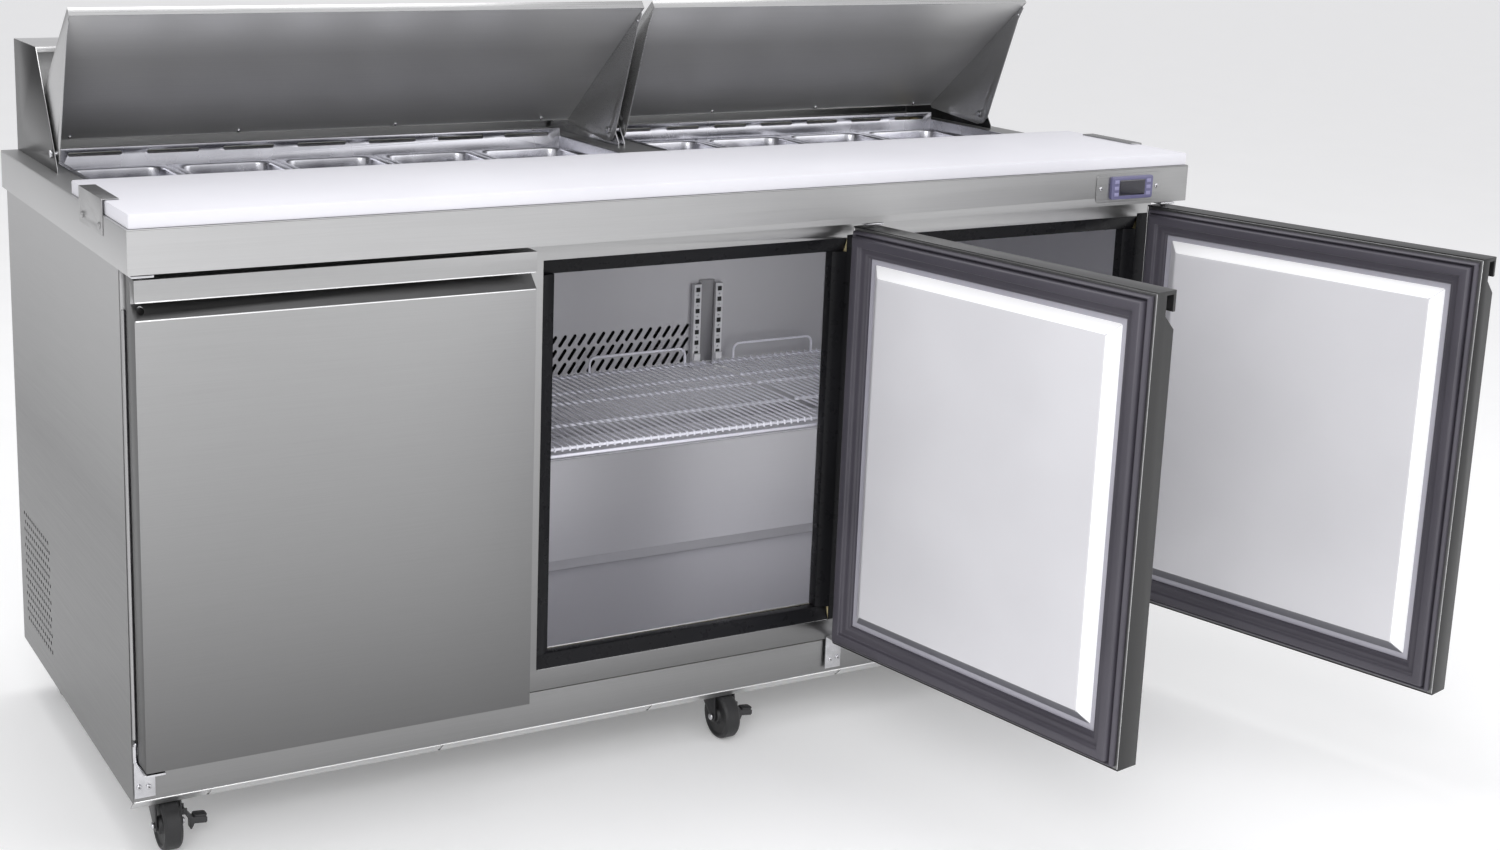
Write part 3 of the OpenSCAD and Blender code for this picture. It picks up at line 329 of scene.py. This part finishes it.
def dress(node, mat, bevel=0.6, segments=2):
    """Gives a CAD node its material, and rounds its folded edges without changing its mesh."""
    o = NODES[node]
    o.data.materials.clear()
    o.data.materials.append(M[mat])
    w = o.modifiers.new("weld", "WELD")
    w.merge_threshold = 0.00002
    if bevel:
        d = o.modifiers.new("flat", "DECIMATE")
        d.decimate_type = "DISSOLVE"
        d.angle_limit = math.radians(0.4)
        b = o.modifiers.new("bevel", "BEVEL")
        b.width = bevel / 1000.0
        b.segments = segments
        b.limit_method = "ANGLE"
        b.angle_limit = math.radians(40)
        b.use_clamp_overlap = True
    s = o.modifiers.new("smooth", "NODES")
    s.node_group = SMOOTH


# ---- mesh helpers ----
def piece(name, bm, body, mat, angle=35.0):
    """Makes a mesh into a piece that rides on a body, smooth except at edges sharper than an angle."""
    bmesh.ops.remove_doubles(bm, verts=bm.verts, dist=1e-6)
    bmesh.ops.recalc_face_normals(bm, faces=bm.faces)
    lim = math.radians(angle)
    for f in bm.faces:
        f.smooth = True
    for e in bm.edges:
        if len(e.link_faces) == 2 and e.calc_face_angle(0.0) > lim:
            e.smooth = False
    me = bpy.data.meshes.new(name)
    bm.to_mesh(me)
    bm.free()
    o = bpy.data.objects.new(name, me)
    bpy.context.scene.collection.objects.link(o)
    me.materials.append(M[mat])
    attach(o, body)
    return o


def loft(bm, rings):
    """Joins closed rings of points, and closes the first and last."""
    rows = [[bm.verts.new(p) for p in r] for r in rings]
    n = len(rows[0])
    for a, b in zip(rows, rows[1:]):
        for i in range(n):
            bm.faces.new((a[i], a[(i + 1) % n], b[(i + 1) % n], b[i]))
    bm.faces.new(list(reversed(rows[0])))
    bm.faces.new(rows[-1])


def rounded(w, d, r, k=6):
    """A rectangle's outline with round corners, as points round the origin."""
    out = []
    r = max(min(r, w / 2 - 0.01, d / 2 - 0.01), 0.01)
    for q, (sx, sy) in enumerate([(1, 1), (-1, 1), (-1, -1), (1, -1)]):
        for i in range(k + 1):
            a = math.radians(90 * q + 90 * i / k)
            out.append((sx * (w / 2 - r) + r * math.cos(a), sy * (d / 2 - r) + r * math.sin(a)))
    return out


def lathe(bm, profile, at, axis, k=24):
    """Turns (radius, height) points round an axis through a point."""
    axis = Vector(axis).normalized()
    side = axis.orthogonal().normalized()
    up = axis.cross(side)
    rings = []
    for r, h in profile:
        ring = []
        for i in range(k):
            a = 2 * math.pi * i / k
            out = (side * math.cos(a) + up * math.sin(a)) * (max(r, 0.01) / 1000)
            ring.append(at + axis * (h / 1000) + out)
        rings.append(ring)
    loft(bm, rings)


def sweep(bm, pts, r, k=10):
    """A round bar of radius r, in mm, along points in metres."""
    rings, up = [], None
    for i, p in enumerate(pts):
        t = (pts[min(i + 1, len(pts) - 1)] - pts[max(i - 1, 0)]).normalized()
        if up is None:
            up = t.orthogonal().normalized()
        up = (up - t * up.dot(t)).normalized()
        side = t.cross(up)
        angles = [2 * math.pi * j / k for j in range(k)]
        rings.append([p + (up * math.cos(a) + side * math.sin(a)) * (r / 1000) for a in angles])
    loft(bm, rings)


def corner_path(pts, r, k=5):
    """A polyline whose inner corners are rounded with radius r, in metres."""
    out = [pts[0]]
    for a, b, c in zip(pts, pts[1:], pts[2:]):
        u, v = (a - b).normalized(), (c - b).normalized()
        p, q = b + u * r, b + v * r
        for i in range(k + 1):
            t = i / k
            out.append(p * (1 - t) ** 2 + b * 2 * t * (1 - t) + q * t ** 2)
    out.append(pts[-1])
    return out


def screw(bm, at, axis, r=4.0, h=2.2, recess=None):
    """A domed screw head; if a mesh is given, its cross recess goes there as blocks for a painted shadow."""
    prof = [(r, 0), (r, h * 0.35), (r * 0.92, h * 0.6), (r * 0.72, h * 0.85), (r * 0.42, h * 0.97), (0.0, h)]
    lathe(bm, prof, at, axis, 18)
    if recess is not None:
        axis = Vector(axis).normalized()
        side = axis.orthogonal().normalized()
        up = axis.cross(side)
        for s, t in ((side, up), (up, side)):
            a, b = s * (r * 0.5 / 1000), t * (r * 0.12 / 1000)
            lo, hi = axis * (h * 0.6 / 1000), axis * ((h * 1.02) / 1000)
            loft(recess, [[at + lo + a + b, at + lo - a + b, at + lo - a - b, at + lo + a - b],
                          [at + hi + a + b, at + hi - a + b, at + hi - a - b, at + hi + a - b]])


def door_matrix(which):
    """Hangs a door on its hinge and opens it; the left door is mirrored."""
    x, deg, right = DOORS[which]
    m = Matrix.Translation(P(x, HINGE_Y, DOOR_Z)) @ Matrix.Rotation(math.radians(deg), 4, "Z")
    if not right:
        m = m @ Matrix.Scale(-1, 4, (1, 0, 0))
    return m @ Matrix.Translation(Vector(((HINGE_IN - DOOR_W) / 1000, -HINGE_BACK / 1000, 0)))


def L(x, y, z):
    """A point of a door before it is hung: x and z from its lower corner, y back from its front face."""
    return Vector((x / 1000, y / 1000, z / 1000))


# ---- doors ----
# Sections: the gasket's and the rim's are (inset, height), the inner panel's is (inset, depth, corner radius)
GASKET = [
    (0, 0), (0, 5.5), (1.0, 8.0), (2.8, 9.4), (4.6, 8.2), (5.4, 4.4), (6.4, 4.0), (7.2, 9.0), (7.8, 14.6),
    (9.0, 16.9), (10.6, 17.3), (19.6, 17.3), (21.2, 16.6), (22.0, 14.8), (22.6, 12.0), (24.0, 10.4),
    (26.0, 9.8), (30.0, 9.6), (32.6, 8.8), (33.6, 6.6), (34.6, 6.2), (36.4, 5.4), (38, 3.4), (38, 0),
]
GASKET_OUT = 6.0
LIT_BEVEL, FLANGE, LOWER_BEVEL = 1, 2, 3  # material slots of an inner panel: the lit copy paints a highlight, the flange and lower-bevel copies paint shade
RIM = [(1.6, 26), (1.6, 39.4), (2.4, 40.0), (42.0, 40.0), (42.0, 26)]
PANEL = [
    (41, 36.0, 3), (41, 40.2, 3), (51, 40.4, 3), (53, 41.0, 3), (55, 42.6, 3), (68, 52.8, 3), (70, 54.0, 3),
    (73, 54.4, 3),
]


def mitred(profile, out, base):
    """A frame round the door's back: each point is (inset, height) of its section."""
    bm = bmesh.new()
    rows = []
    for u, h in profile:
        a, b, c = out + u, DOOR_W - out - u, DOOR_H - out - u
        y = base + h
        rows.append([bm.verts.new(L(*p)) for p in ((a, y, a), (b, y, a), (b, y, c), (a, y, c))])
    for p, q in zip(rows, rows[1:] + rows[:1]):
        for j in range(4):
            bm.faces.new((p[j], p[(j + 1) % 4], q[(j + 1) % 4], q[j]))
    return bm


def bead(bm, a, b, r):
    """A rolled hem: a thin round bar with rounded ends."""
    t = (b - a).normalized() * (r / 1000)
    long = (b - a).length * 1000
    lathe(bm, [(r * 0.5, 0), (r, r), (r, long - r), (r * 0.5, long)], a, t, 10)


def rect_ring(inset, depth, r, k=5):
    """The door's outline drawn in by an inset, at a depth behind its front face."""
    pts = rounded(DOOR_W - 2 * inset, DOOR_H - 2 * inset, r, k)
    return [L(DOOR_W / 2 + x, depth, DOOR_H / 2 + z) for x, z in pts]


for side in DOORS:
    body = side + "_door"
    mat = door_matrix(side)
    bm = mitred(GASKET, GASKET_OUT, DOOR_T + 0.2)
    bm.transform(mat)
    g = piece(side + "_gasket_bellows", bm, body, "gasket", angle=50)
    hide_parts(side + "_door_gasket")

    bm = mitred(RIM, 0.0, 0.0)
    bm.transform(mat)
    piece(side + "_door_back_rim", bm, body, "door_rim")

    bm = bmesh.new()
    loft(bm, [rect_ring(*r) for r in PANEL])
    bmesh.ops.recalc_face_normals(bm, faces=bm.faces)
    # painted light and shade: the upper and one side's bevels take the lit copy, the flange and the lower
    # bevels the shaded copies
    for f in bm.faces:
        n, deep = f.normal, f.calc_center_median().y * 1000
        bevelled = abs(n.y) < 0.95
        if deep < DOOR_T + 1.5:
            f.material_index = FLANGE
        elif bevelled and (n.z > 0.4 or n.x < -0.4):
            f.material_index = LIT_BEVEL
        elif bevelled and n.z < -0.4:
            f.material_index = LOWER_BEVEL
    bm.transform(mat)
    o = piece(side + "_door_inner_panel", bm, body, "white", angle=25)
    for extra in ("white_lit", "white_low", "white_shade"):
        o.data.materials.append(M[extra])
    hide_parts(side + "_door_liner")

    # the door's folded edges as beads in the near-white hem steel: real hems with a painted highlight
    bm = bmesh.new()
    for y, z in ((0.8, DOOR_H - LIP_H), (0.7, DOOR_H - GRIP_EDGE)):
        bead(bm, L(1, y, z), L(DOOR_W - 1, y, z), 1.1)
    for x in (0.9, DOOR_W - 0.9):
        bead(bm, L(x, DOOR_T - 0.6, 2), L(x, DOOR_T - 0.6, DOOR_H - 2), 0.7)
    bm.transform(mat)
    piece(side + "_door_hems", bm, body, "hem")
    dress(side + "_door_skin", "door_" + side, 1.0, 3)

# ---- pans ----
PAN = [  # inset from the rim, height, corner radius
    (0.3, -5.0, 8), (0.0, -4.6, 8), (0.0, -1.4, 8), (0.5, -0.4, 7.5), (1.4, 0.0, 7), (10.2, 0.0, 20),
    (11.4, -0.5, 22), (12.3, -1.8, 23), (12.9, -4.0, 23), (13.5, -30, 22.5), (14.6, -84, 22),
    (15.6, -91, 21.5), (18.5, -96.4, 20), (23.5, -99.2, 16), (30, -100.0, 12),
]
PAN_WALL, PAN_FLOOR = 0.8, -95
PAN_OUTSIDE = [(1.2 + PAN_WALL, -5.0, 7), (1.2 + PAN_WALL, -1.6, 7)]
PAN_OUTSIDE += [(a - PAN_WALL, h, r) for a, h, r in PAN if a > 9]
for side, (x0, cols) in WELLS.items():
    bm = bmesh.new()
    for i in range(cols):
        for j in (-1, 1):
            cx, cy = x0 + (i + 0.5) * PAN_PITCH, WELL_MID + j * (PAN_ROW / 2 + 0.5)
            inner = [[P(cx + x, cy + y, RIM_Z + h + (PAN_WALL if h < PAN_FLOOR else 0)) for x, y in
                      rounded(PAN_RIM - 2 * a, PAN_ROW - 2 * a, r)] for a, h, r in PAN]
            outer = [[P(cx + x, cy + y, RIM_Z + h - (PAN_WALL if h > PAN_FLOOR else 0)) for x, y in
                      rounded(PAN_RIM - 2 * a, PAN_ROW - 2 * a, r)] for a, h, r in PAN_OUTSIDE]
            loft(bm, outer[::-1] + inner)
    o = piece("pans_in_%s_well" % side, bm, "pan_set_" + side, "pan", angle=60)
    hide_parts("pans_" + side)

# ---- shelves ----
SHELVES = {  # body, middle, half its width
    "left": ("shelf_l", -572.25, 266.75),
    "middle": ("shelf_m", 0.0, 291.5),
    "right": ("shelf_r", 572.25, 266.75),
}
FRONT, BACK = 140.0, 540.0
WIDEST, WIDEST_WIRES = 291.5, 45
for side, (body, mid, half) in SHELVES.items():
    bm = bmesh.new()
    z = SHELF_Z - 1.4
    wires = math.floor(WIDEST_WIRES * half / WIDEST / 2) * 2 + 1
    for i in range(wires):
        x = mid - half + 4 + i * (2 * half - 8) / (wires - 1)
        path = [P(x, FRONT + 1.5, z - 7), P(x, FRONT + 1.5, z), P(x, BACK, z)]
        sweep(bm, corner_path(path, 0.003, 4), 1.7, 8)
    for y in (FRONT + 4, FRONT + 120, FRONT + 240, BACK - 100, BACK - 3):
        sweep(bm, [P(mid - half, y, z - 3.4), P(mid + half, y, z - 3.4)], 2.6, 12)
    rail = [P(mid - half + 3, FRONT + 4, z - 3), P(mid - half + 3, FRONT + 4, z - 15),
            P(mid + half - 3, FRONT + 4, z - 15), P(mid + half - 3, FRONT + 4, z - 3)]
    sweep(bm, corner_path(rail, 0.006, 6), 2.6, 12)
    for s in (-1, 1):
        a, b = (54, half - 44) if s > 0 else (-half + 44, -54)
        guard = [P(mid + u, BACK - 3, z + h) for u, h in ((a, -3), (a, 28), (b, 28), (b, -3))]
        sweep(bm, corner_path(guard, 0.014, 6), 2.3, 10)
    o = piece("wire_shelf_" + side, bm, body, "wire")
    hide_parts("shelf_" + side)

# ---- slots of the shelf posts with painted shadow in them, their feet and webs, and hems inside with a painted highlight ----
SLOTS, SLOT_PITCH = 7, 19.5
POSTS = [s * DOOR_PITCH / 2 + t * POST_SPREAD for s in (-1, 1) for t in (-1, 1)] + [24 - WALL_X, WALL_X - 24]
SLOT_CUT = ((0.1, 8.1), (-0.45, 8.1), (-0.5, 6.6), (-0.2, 6.4))  # behind the post's face, width
slots, feet, webs = bmesh.new(), bmesh.new(), bmesh.new()
for x in POSTS:
    for i in range(SLOTS):
        z = POST_Z + 19 + i * SLOT_PITCH
        loft(slots, [[P(x + a, POST_FACE + y, z + b) for a, b in rounded(w, w, 0.8, 3)] for y, w in SLOT_CUT])
    loft(feet, [[P(x + a, POST_FACE - y, POST_Z + 12 + b) for a, b in rounded(w, h, 1.5, 3)] for y, w, h in
                ((0.6, 13, 13), (4.2, 13, 13), (5.0, 11.6, 11.4))])
WEB_Z, WEB_H = POST_Z + 76.5, 151
for x in (-DOOR_PITCH / 2, DOOR_PITCH / 2):
    loft(webs, [[P(x + a, POST_BACK - y, WEB_Z + b) for a, b in rounded(w, WEB_H, 0.8, 3)] for y, w in
                ((3.2, 29), (3.8, 29), (4.1, 28))])
# painted shadow: near-black plugs in the posts' slots
piece("post_slot_shadows", slots, "cabinet", "recess")
piece("post_feet", feet, "cabinet", "post")
piece("post_webs", webs, "cabinet", "web")

# painted highlight: beads in the near-white hem steel along the liner's front edge, the breaker's lower edge
# and the kick's bend
hems = bmesh.new()
for x in (-DOOR_PITCH, 0, DOOR_PITCH):
    half, y, z = MOUTH_HALF - 1, LINER_FRONT + 0.2, MOUTH_Z + 0.5
    bead(hems, P(x - half, y, z), P(x + half, y, z), 0.9)
    half, y, z = MOUTH_HALF + BREAKER_W - 1, FRAME_Y + 1.3, MOUTH_Z - BREAKER_W - 0.1
    bead(hems, P(x - half, y, z), P(x + half, y, z), 0.9)
bead(hems, P(-890, KICK_Y + 0.4, BASE_Z - 0.6), P(890, KICK_Y + 0.4, BASE_Z - 0.6), 1.1)
piece("cabinet_hems", hems, "cabinet", "hem")
# painted shadow: black strips on the front frame beside the open doors' hinges, where the frame lies in shade
gap_shadow_mesh = bmesh.new()
GAP_SHADOW_X, GAP_SHADOW_Z, GAP_SHADOW_W, GAP_SHADOW_H = 279, 508, 25, 644
for x in (0, DOOR_PITCH):
    loft(gap_shadow_mesh, [[P(x + GAP_SHADOW_X + a, FRAME_Y + y, GAP_SHADOW_Z + b)
                  for a, b in rounded(GAP_SHADOW_W - 2 * e, GAP_SHADOW_H - 2 * e, 1.0, 3)]
                 for y, e in ((0.2, 0), (-0.15, 0), (-0.22, 0.2))])
piece("hinge_side_gap_shadows", gap_shadow_mesh, "cabinet", "black")
# the step's top as a thin sheet in the lighter step steel: painted highlight
STEP_DEEP, STEP_X = 113.0, WALL_X - 1
bm, rings = bmesh.new(), []
for h, d in ((0.3, 0.4), (0.8, -0.2), (1.5, -0.2), (2.1, 0.6)):
    corners = ((-STEP_X, d), (STEP_X, d), (STEP_X, STEP_DEEP), (-STEP_X, STEP_DEEP))
    rings.append([P(x, STEP_Y + y, STEP_Z + h) for x, y in corners])
loft(bm, rings)
piece("step_top", bm, "cabinet", "step")

# ---- carried-over nodes ----
CASTERS = {  # swivel axis, and which way the wheel trails
    "front_left": (-836, 131, -1), "front_middle": (89, 131, -1), "front_right": (835, 131, -1),
    "rear_left": (-835, 684, 1), "rear_middle": (77, 684, 1), "rear_right": (835, 684, 1),
}
for node, mat, bev in [
    ("side_panels", "side", 0), ("back_panel", "galv", 0), ("base_pan", "galv", 0),
    ("kick_panel", "kick", 0.4),
    ("front_frame", "frame", 0.4), ("breaker_strips", "black", 1.2), ("insulation", "foam", 0),
    ("inner_liner", "liner", 0), ("evaporator_cover", "cover", 0), ("pilasters", "post", 0.3),
    ("worktop", "apron", 0.5), ("hood", "hood", 0.5),
    ("lid_brackets", "zinc", 0.4), ("lid_pivot_bolts", "zinc", 0.5), ("well_liners", "well", 0.4),
    ("divider_bars", "well", 1.0), ("board_brackets", "steel", 0.5), ("keypad", "key", 0.3),
    ("hinge_brackets", "zinc", 0.5), ("evaporator_coil", "coil", 0), ("evaporator_fan", "hub", 0.3),
    ("compressor", "paint", 1.5), ("condenser", "alu", 0), ("condenser_fan", "hub", 0.3),
    ("cutting_board", "board", 2.0),
    ("left_lid_shell", "shell", 0.5), ("right_lid_shell", "shell", 0.5), ("left_lid_liner", "lid_in", 1.0),
    ("right_lid_liner", "lid_in", 1.0), ("caster_plates", "zinc", 0.5),
]:
    dress(node, mat, bev)
for p in CASTERS:
    dress("fork_" + p, "hub", 0.5)
    dress("wheel_" + p, "tyre", 0.8)
for p in ("left", "middle", "right"):
    dress("brake_pedal_" + p, "pedal", 0.6)

# ---- controller ----
CX, CZ = 775.5, 891.5  # middle of the bezel
PLATE_X = 771.5
PLATE_W, PLATE_H = 137, 47
bm = bmesh.new()
rings = [[P(PLATE_X + x, y, CZ + z) for x, z in rounded(PLATE_W - e, PLATE_H - e, 6)] for y, e in
         ((-0.1, 0), (-0.7, 0), (-1.0, 0.6))]
loft(bm, rings)
piece("controller_plate", bm, "cabinet", "steel")
bm = bmesh.new()
rings = [[P(CX + x, y, CZ + z) for x, z in rounded(w, h, r)] for w, h, r, y in
         [(88, 38, 4, -1.0), (88, 38, 4, -4.8), (87, 37, 3.6, -5.7), (85, 35, 3, -6.0), (56, 27, 2.4, -6.0),
          (54.6, 25.6, 2.0, -5.2)]]
loft(bm, rings)
bezel = piece("controller_bezel", bm, "cabinet", "bezel")
bm = bmesh.new()
rings = [[P(CX + x, y, CZ + z) for x, z in rounded(w, h, r)] for w, h, r, y in
         [(54.4, 25.4, 1.6, -5.1), (54.4, 25.4, 1.6, -5.5), (53.6, 24.6, 1.4, -5.75), (50, 21, 1.0, -5.8)]]
loft(bm, rings)
piece("controller_display", bm, "cabinet", "glass")
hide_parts("controller")

# ---- screws, bolts and the strip beside the left door ----
heads, cross = bmesh.new(), bmesh.new()
PLATE_SCREWS, END_SCREWS = (712, 831), (134, 228)
HINGE_SCREWS = ((-7.5, 117), (6.5, 115.5))  # in from the door's hinge, and height
STRIP_X, STRIP_Y = -889.0, 69.0
for x in PLATE_SCREWS:
    screw(heads, P(x, -1.0, CZ), (0, -1, 0), 3.6, 2.0, cross)
for s in (-1, 1):
    for y in END_SCREWS:
        screw(heads, P(s * 901.7, y, 906), (s, 0, 0), 3.8, 1.9, cross)
for x, _, on_right in DOORS.values():
    s = -1 if on_right else 1
    for u, z in HINGE_SCREWS:
        screw(heads, P(x + s * u, FRAME_Y - 2.5, z), (0, -1, 0), 3.9, 2.2, cross)
lathe(heads, [(3.6, 0), (3.6, 25)], P(STRIP_X, STRIP_Y, 156), (0, 0, 1), 20)
screw(heads, P(STRIP_X, STRIP_Y - 3.8, 184), (0, -1, 0), 3.4, 2.4)
piece("cabinet_screws", heads, "cabinet", "zinc")
# painted shadow in the screws' cross recesses
piece("cabinet_screw_recess_shadows", cross, "cabinet", "recess")
bm = bmesh.new()
lathe(bm, [(2.0, 0), (3.2, 1.2), (3.2, 612), (2.0, 613.2)], P(STRIP_X, STRIP_Y, 190), (0, 0, 1), 20)
piece("hinge_side_strip", bm, "cabinet", "steel")


def lid_point(x, u, v):
    """A point of the open lid: u back from its front flange, v out of its inner face."""
    c, s = math.cos(LID_SLOPE), math.sin(LID_SLOPE)
    a, b = u - PIVOT_U, v - PIVOT_V
    return P(x, PIVOT[0] + a * c + b * s, PIVOT[1] - a * s + b * c)


LID_IN = (0, -math.sin(LID_SLOPE), -math.cos(LID_SLOPE))
for side, (x0, x1) in LIDS.items():
    bm = bmesh.new()
    for i in range(4):
        screw(bm, lid_point(x0 + (x1 - x0) * (0.06 + 0.293 * i), 337, 0.4), LID_IN, 3.2, 2.0)
    for x, s in ((x0 + 1.2, 1), (x1 - 1.2, -1)):
        screw(bm, lid_point(x, 30, -5), (s, 0, 0), 2.6, 1.6)
    piece(side + "_lid_rivets", bm, side + "_lid", "zinc")

# ---- casters ----
TRAIL, AXLE_Z = 26.0, 37.5
PAD = [(0.0, 18, 14.6, 3), (0.6, 20, 15.6, 4), (2.2, 20, 15.6, 4), (3.0, 18.6, 14.4, 3.4), (3.2, 15, 11, 2)]
for p, (x, y, way) in CASTERS.items():
    bm = bmesh.new()
    for s in (-1, 1):
        screw(bm, P(x + s * 21.8, y + way * TRAIL, AXLE_Z), (s, 0, 0), 5.4, 3.0)
        screw(bm, P(x + s * 19.5, y + way * 8, 71), (s, 0, 0), 3.0, 1.8)
    piece("axle_heads_" + p, bm, "swivel_" + p, "zinc")
    if y < 200:
        bm = bmesh.new()
        cx, cy = x + 49.5, y - 16
        loft(bm, [[P(cx + a, cy + b, 35.4 + h - (a - 10) * 0.1) for a, b in rounded(w, d, r)]
                  for h, w, d, r in PAD])
        piece("brake_pad_" + p.split("_")[1], bm, "brake_" + p.split("_")[1], "pedal")

# ---- floor, light, camera ----
bm = bmesh.new()
bmesh.ops.create_grid(bm, x_segments=2, y_segments=2, size=80.0)
me = bpy.data.meshes.new("floor")
bm.to_mesh(me)
bm.free()
floor = bpy.data.objects.new("floor", me)
bpy.context.scene.collection.objects.link(floor)
me.materials.append(plastic("pale_floor", (0.90, 0.90, 0.90), (0.92, 0.92, 0.92), 0.7, 3.0, 0.0))
glow(me.materials[0], 0.14)

world = bpy.data.worlds.new("studio")
bpy.context.scene.world = world
world.use_nodes = True
wt = world.node_tree
bg = wt.nodes["Background"]
way = wt.nodes.new("ShaderNodeSeparateXYZ")
wt.links.new(wt.nodes.new("ShaderNodeTexCoord").outputs["Generated"], way.inputs[0])
back = remap(wt, way.outputs[1], 0.0, 1.0, -0.8, 0.8)
wt.links.new(tint(wt, back, (1.0, 1.0, 1.02), (0.42, 0.42, 0.43), 0.0, 1.0), bg.inputs[0])
bg.inputs[1].default_value = 1.0


def area(name, at, target, size, power, size_y=None):
    d = bpy.data.lights.new(name, "AREA")
    d.shape = "RECTANGLE"
    d.size = size
    d.size_y = size_y or size
    d.energy = power
    o = bpy.data.objects.new(name, d)
    o.location = at
    o.rotation_euler = (Vector(target) - Vector(at)).to_track_quat("-Z", "Y").to_euler()
    bpy.context.scene.collection.objects.link(o)


area("key", (-2.4, -3.8, 3.0), (0, 0, 0.6), 2.6, 60, 2.0)
area("fill", (3.0, -3.6, 2.2), (0.3, 0, 0.5), 2.4, 25, 2.4)
area("top", (0, 0.6, 4.2), (0, 0, 0.9), 3.4, 60, 2.4)

CAM_AT = (-1566.2, -2567.0, 1401.7)
CAM_YAW, CAM_PITCH, CAM_ROLL = 27.8, -12.6, 1.4
LENS, SHIFT_X, SHIFT_Y = 49.1688, 0.1007333, -0.0725333
yaw, pitch, roll = (math.radians(angle) for angle in (CAM_YAW, CAM_PITCH, CAM_ROLL))
fwd = Vector((math.sin(yaw) * math.cos(pitch), math.cos(yaw) * math.cos(pitch), math.sin(pitch)))
r0 = Vector((math.cos(yaw), -math.sin(yaw), 0))
u0 = r0.cross(fwd)
right = r0 * math.cos(roll) + u0 * math.sin(roll)
up = u0 * math.cos(roll) - r0 * math.sin(roll)
cam = bpy.data.cameras.new("camera")
cam.sensor_width = 36.0
cam.lens = LENS
cam.shift_x, cam.shift_y = SHIFT_X, SHIFT_Y
cam.clip_end = 100
camera = bpy.data.objects.new("camera", cam)
turn = Matrix((right, up, -fwd)).transposed().to_4x4()
camera.matrix_world = Matrix.Translation(P(*CAM_AT)) @ turn
bpy.context.scene.collection.objects.link(camera)
bpy.context.scene.camera = camera
bpy.context.scene.view_settings.view_transform = "Standard"
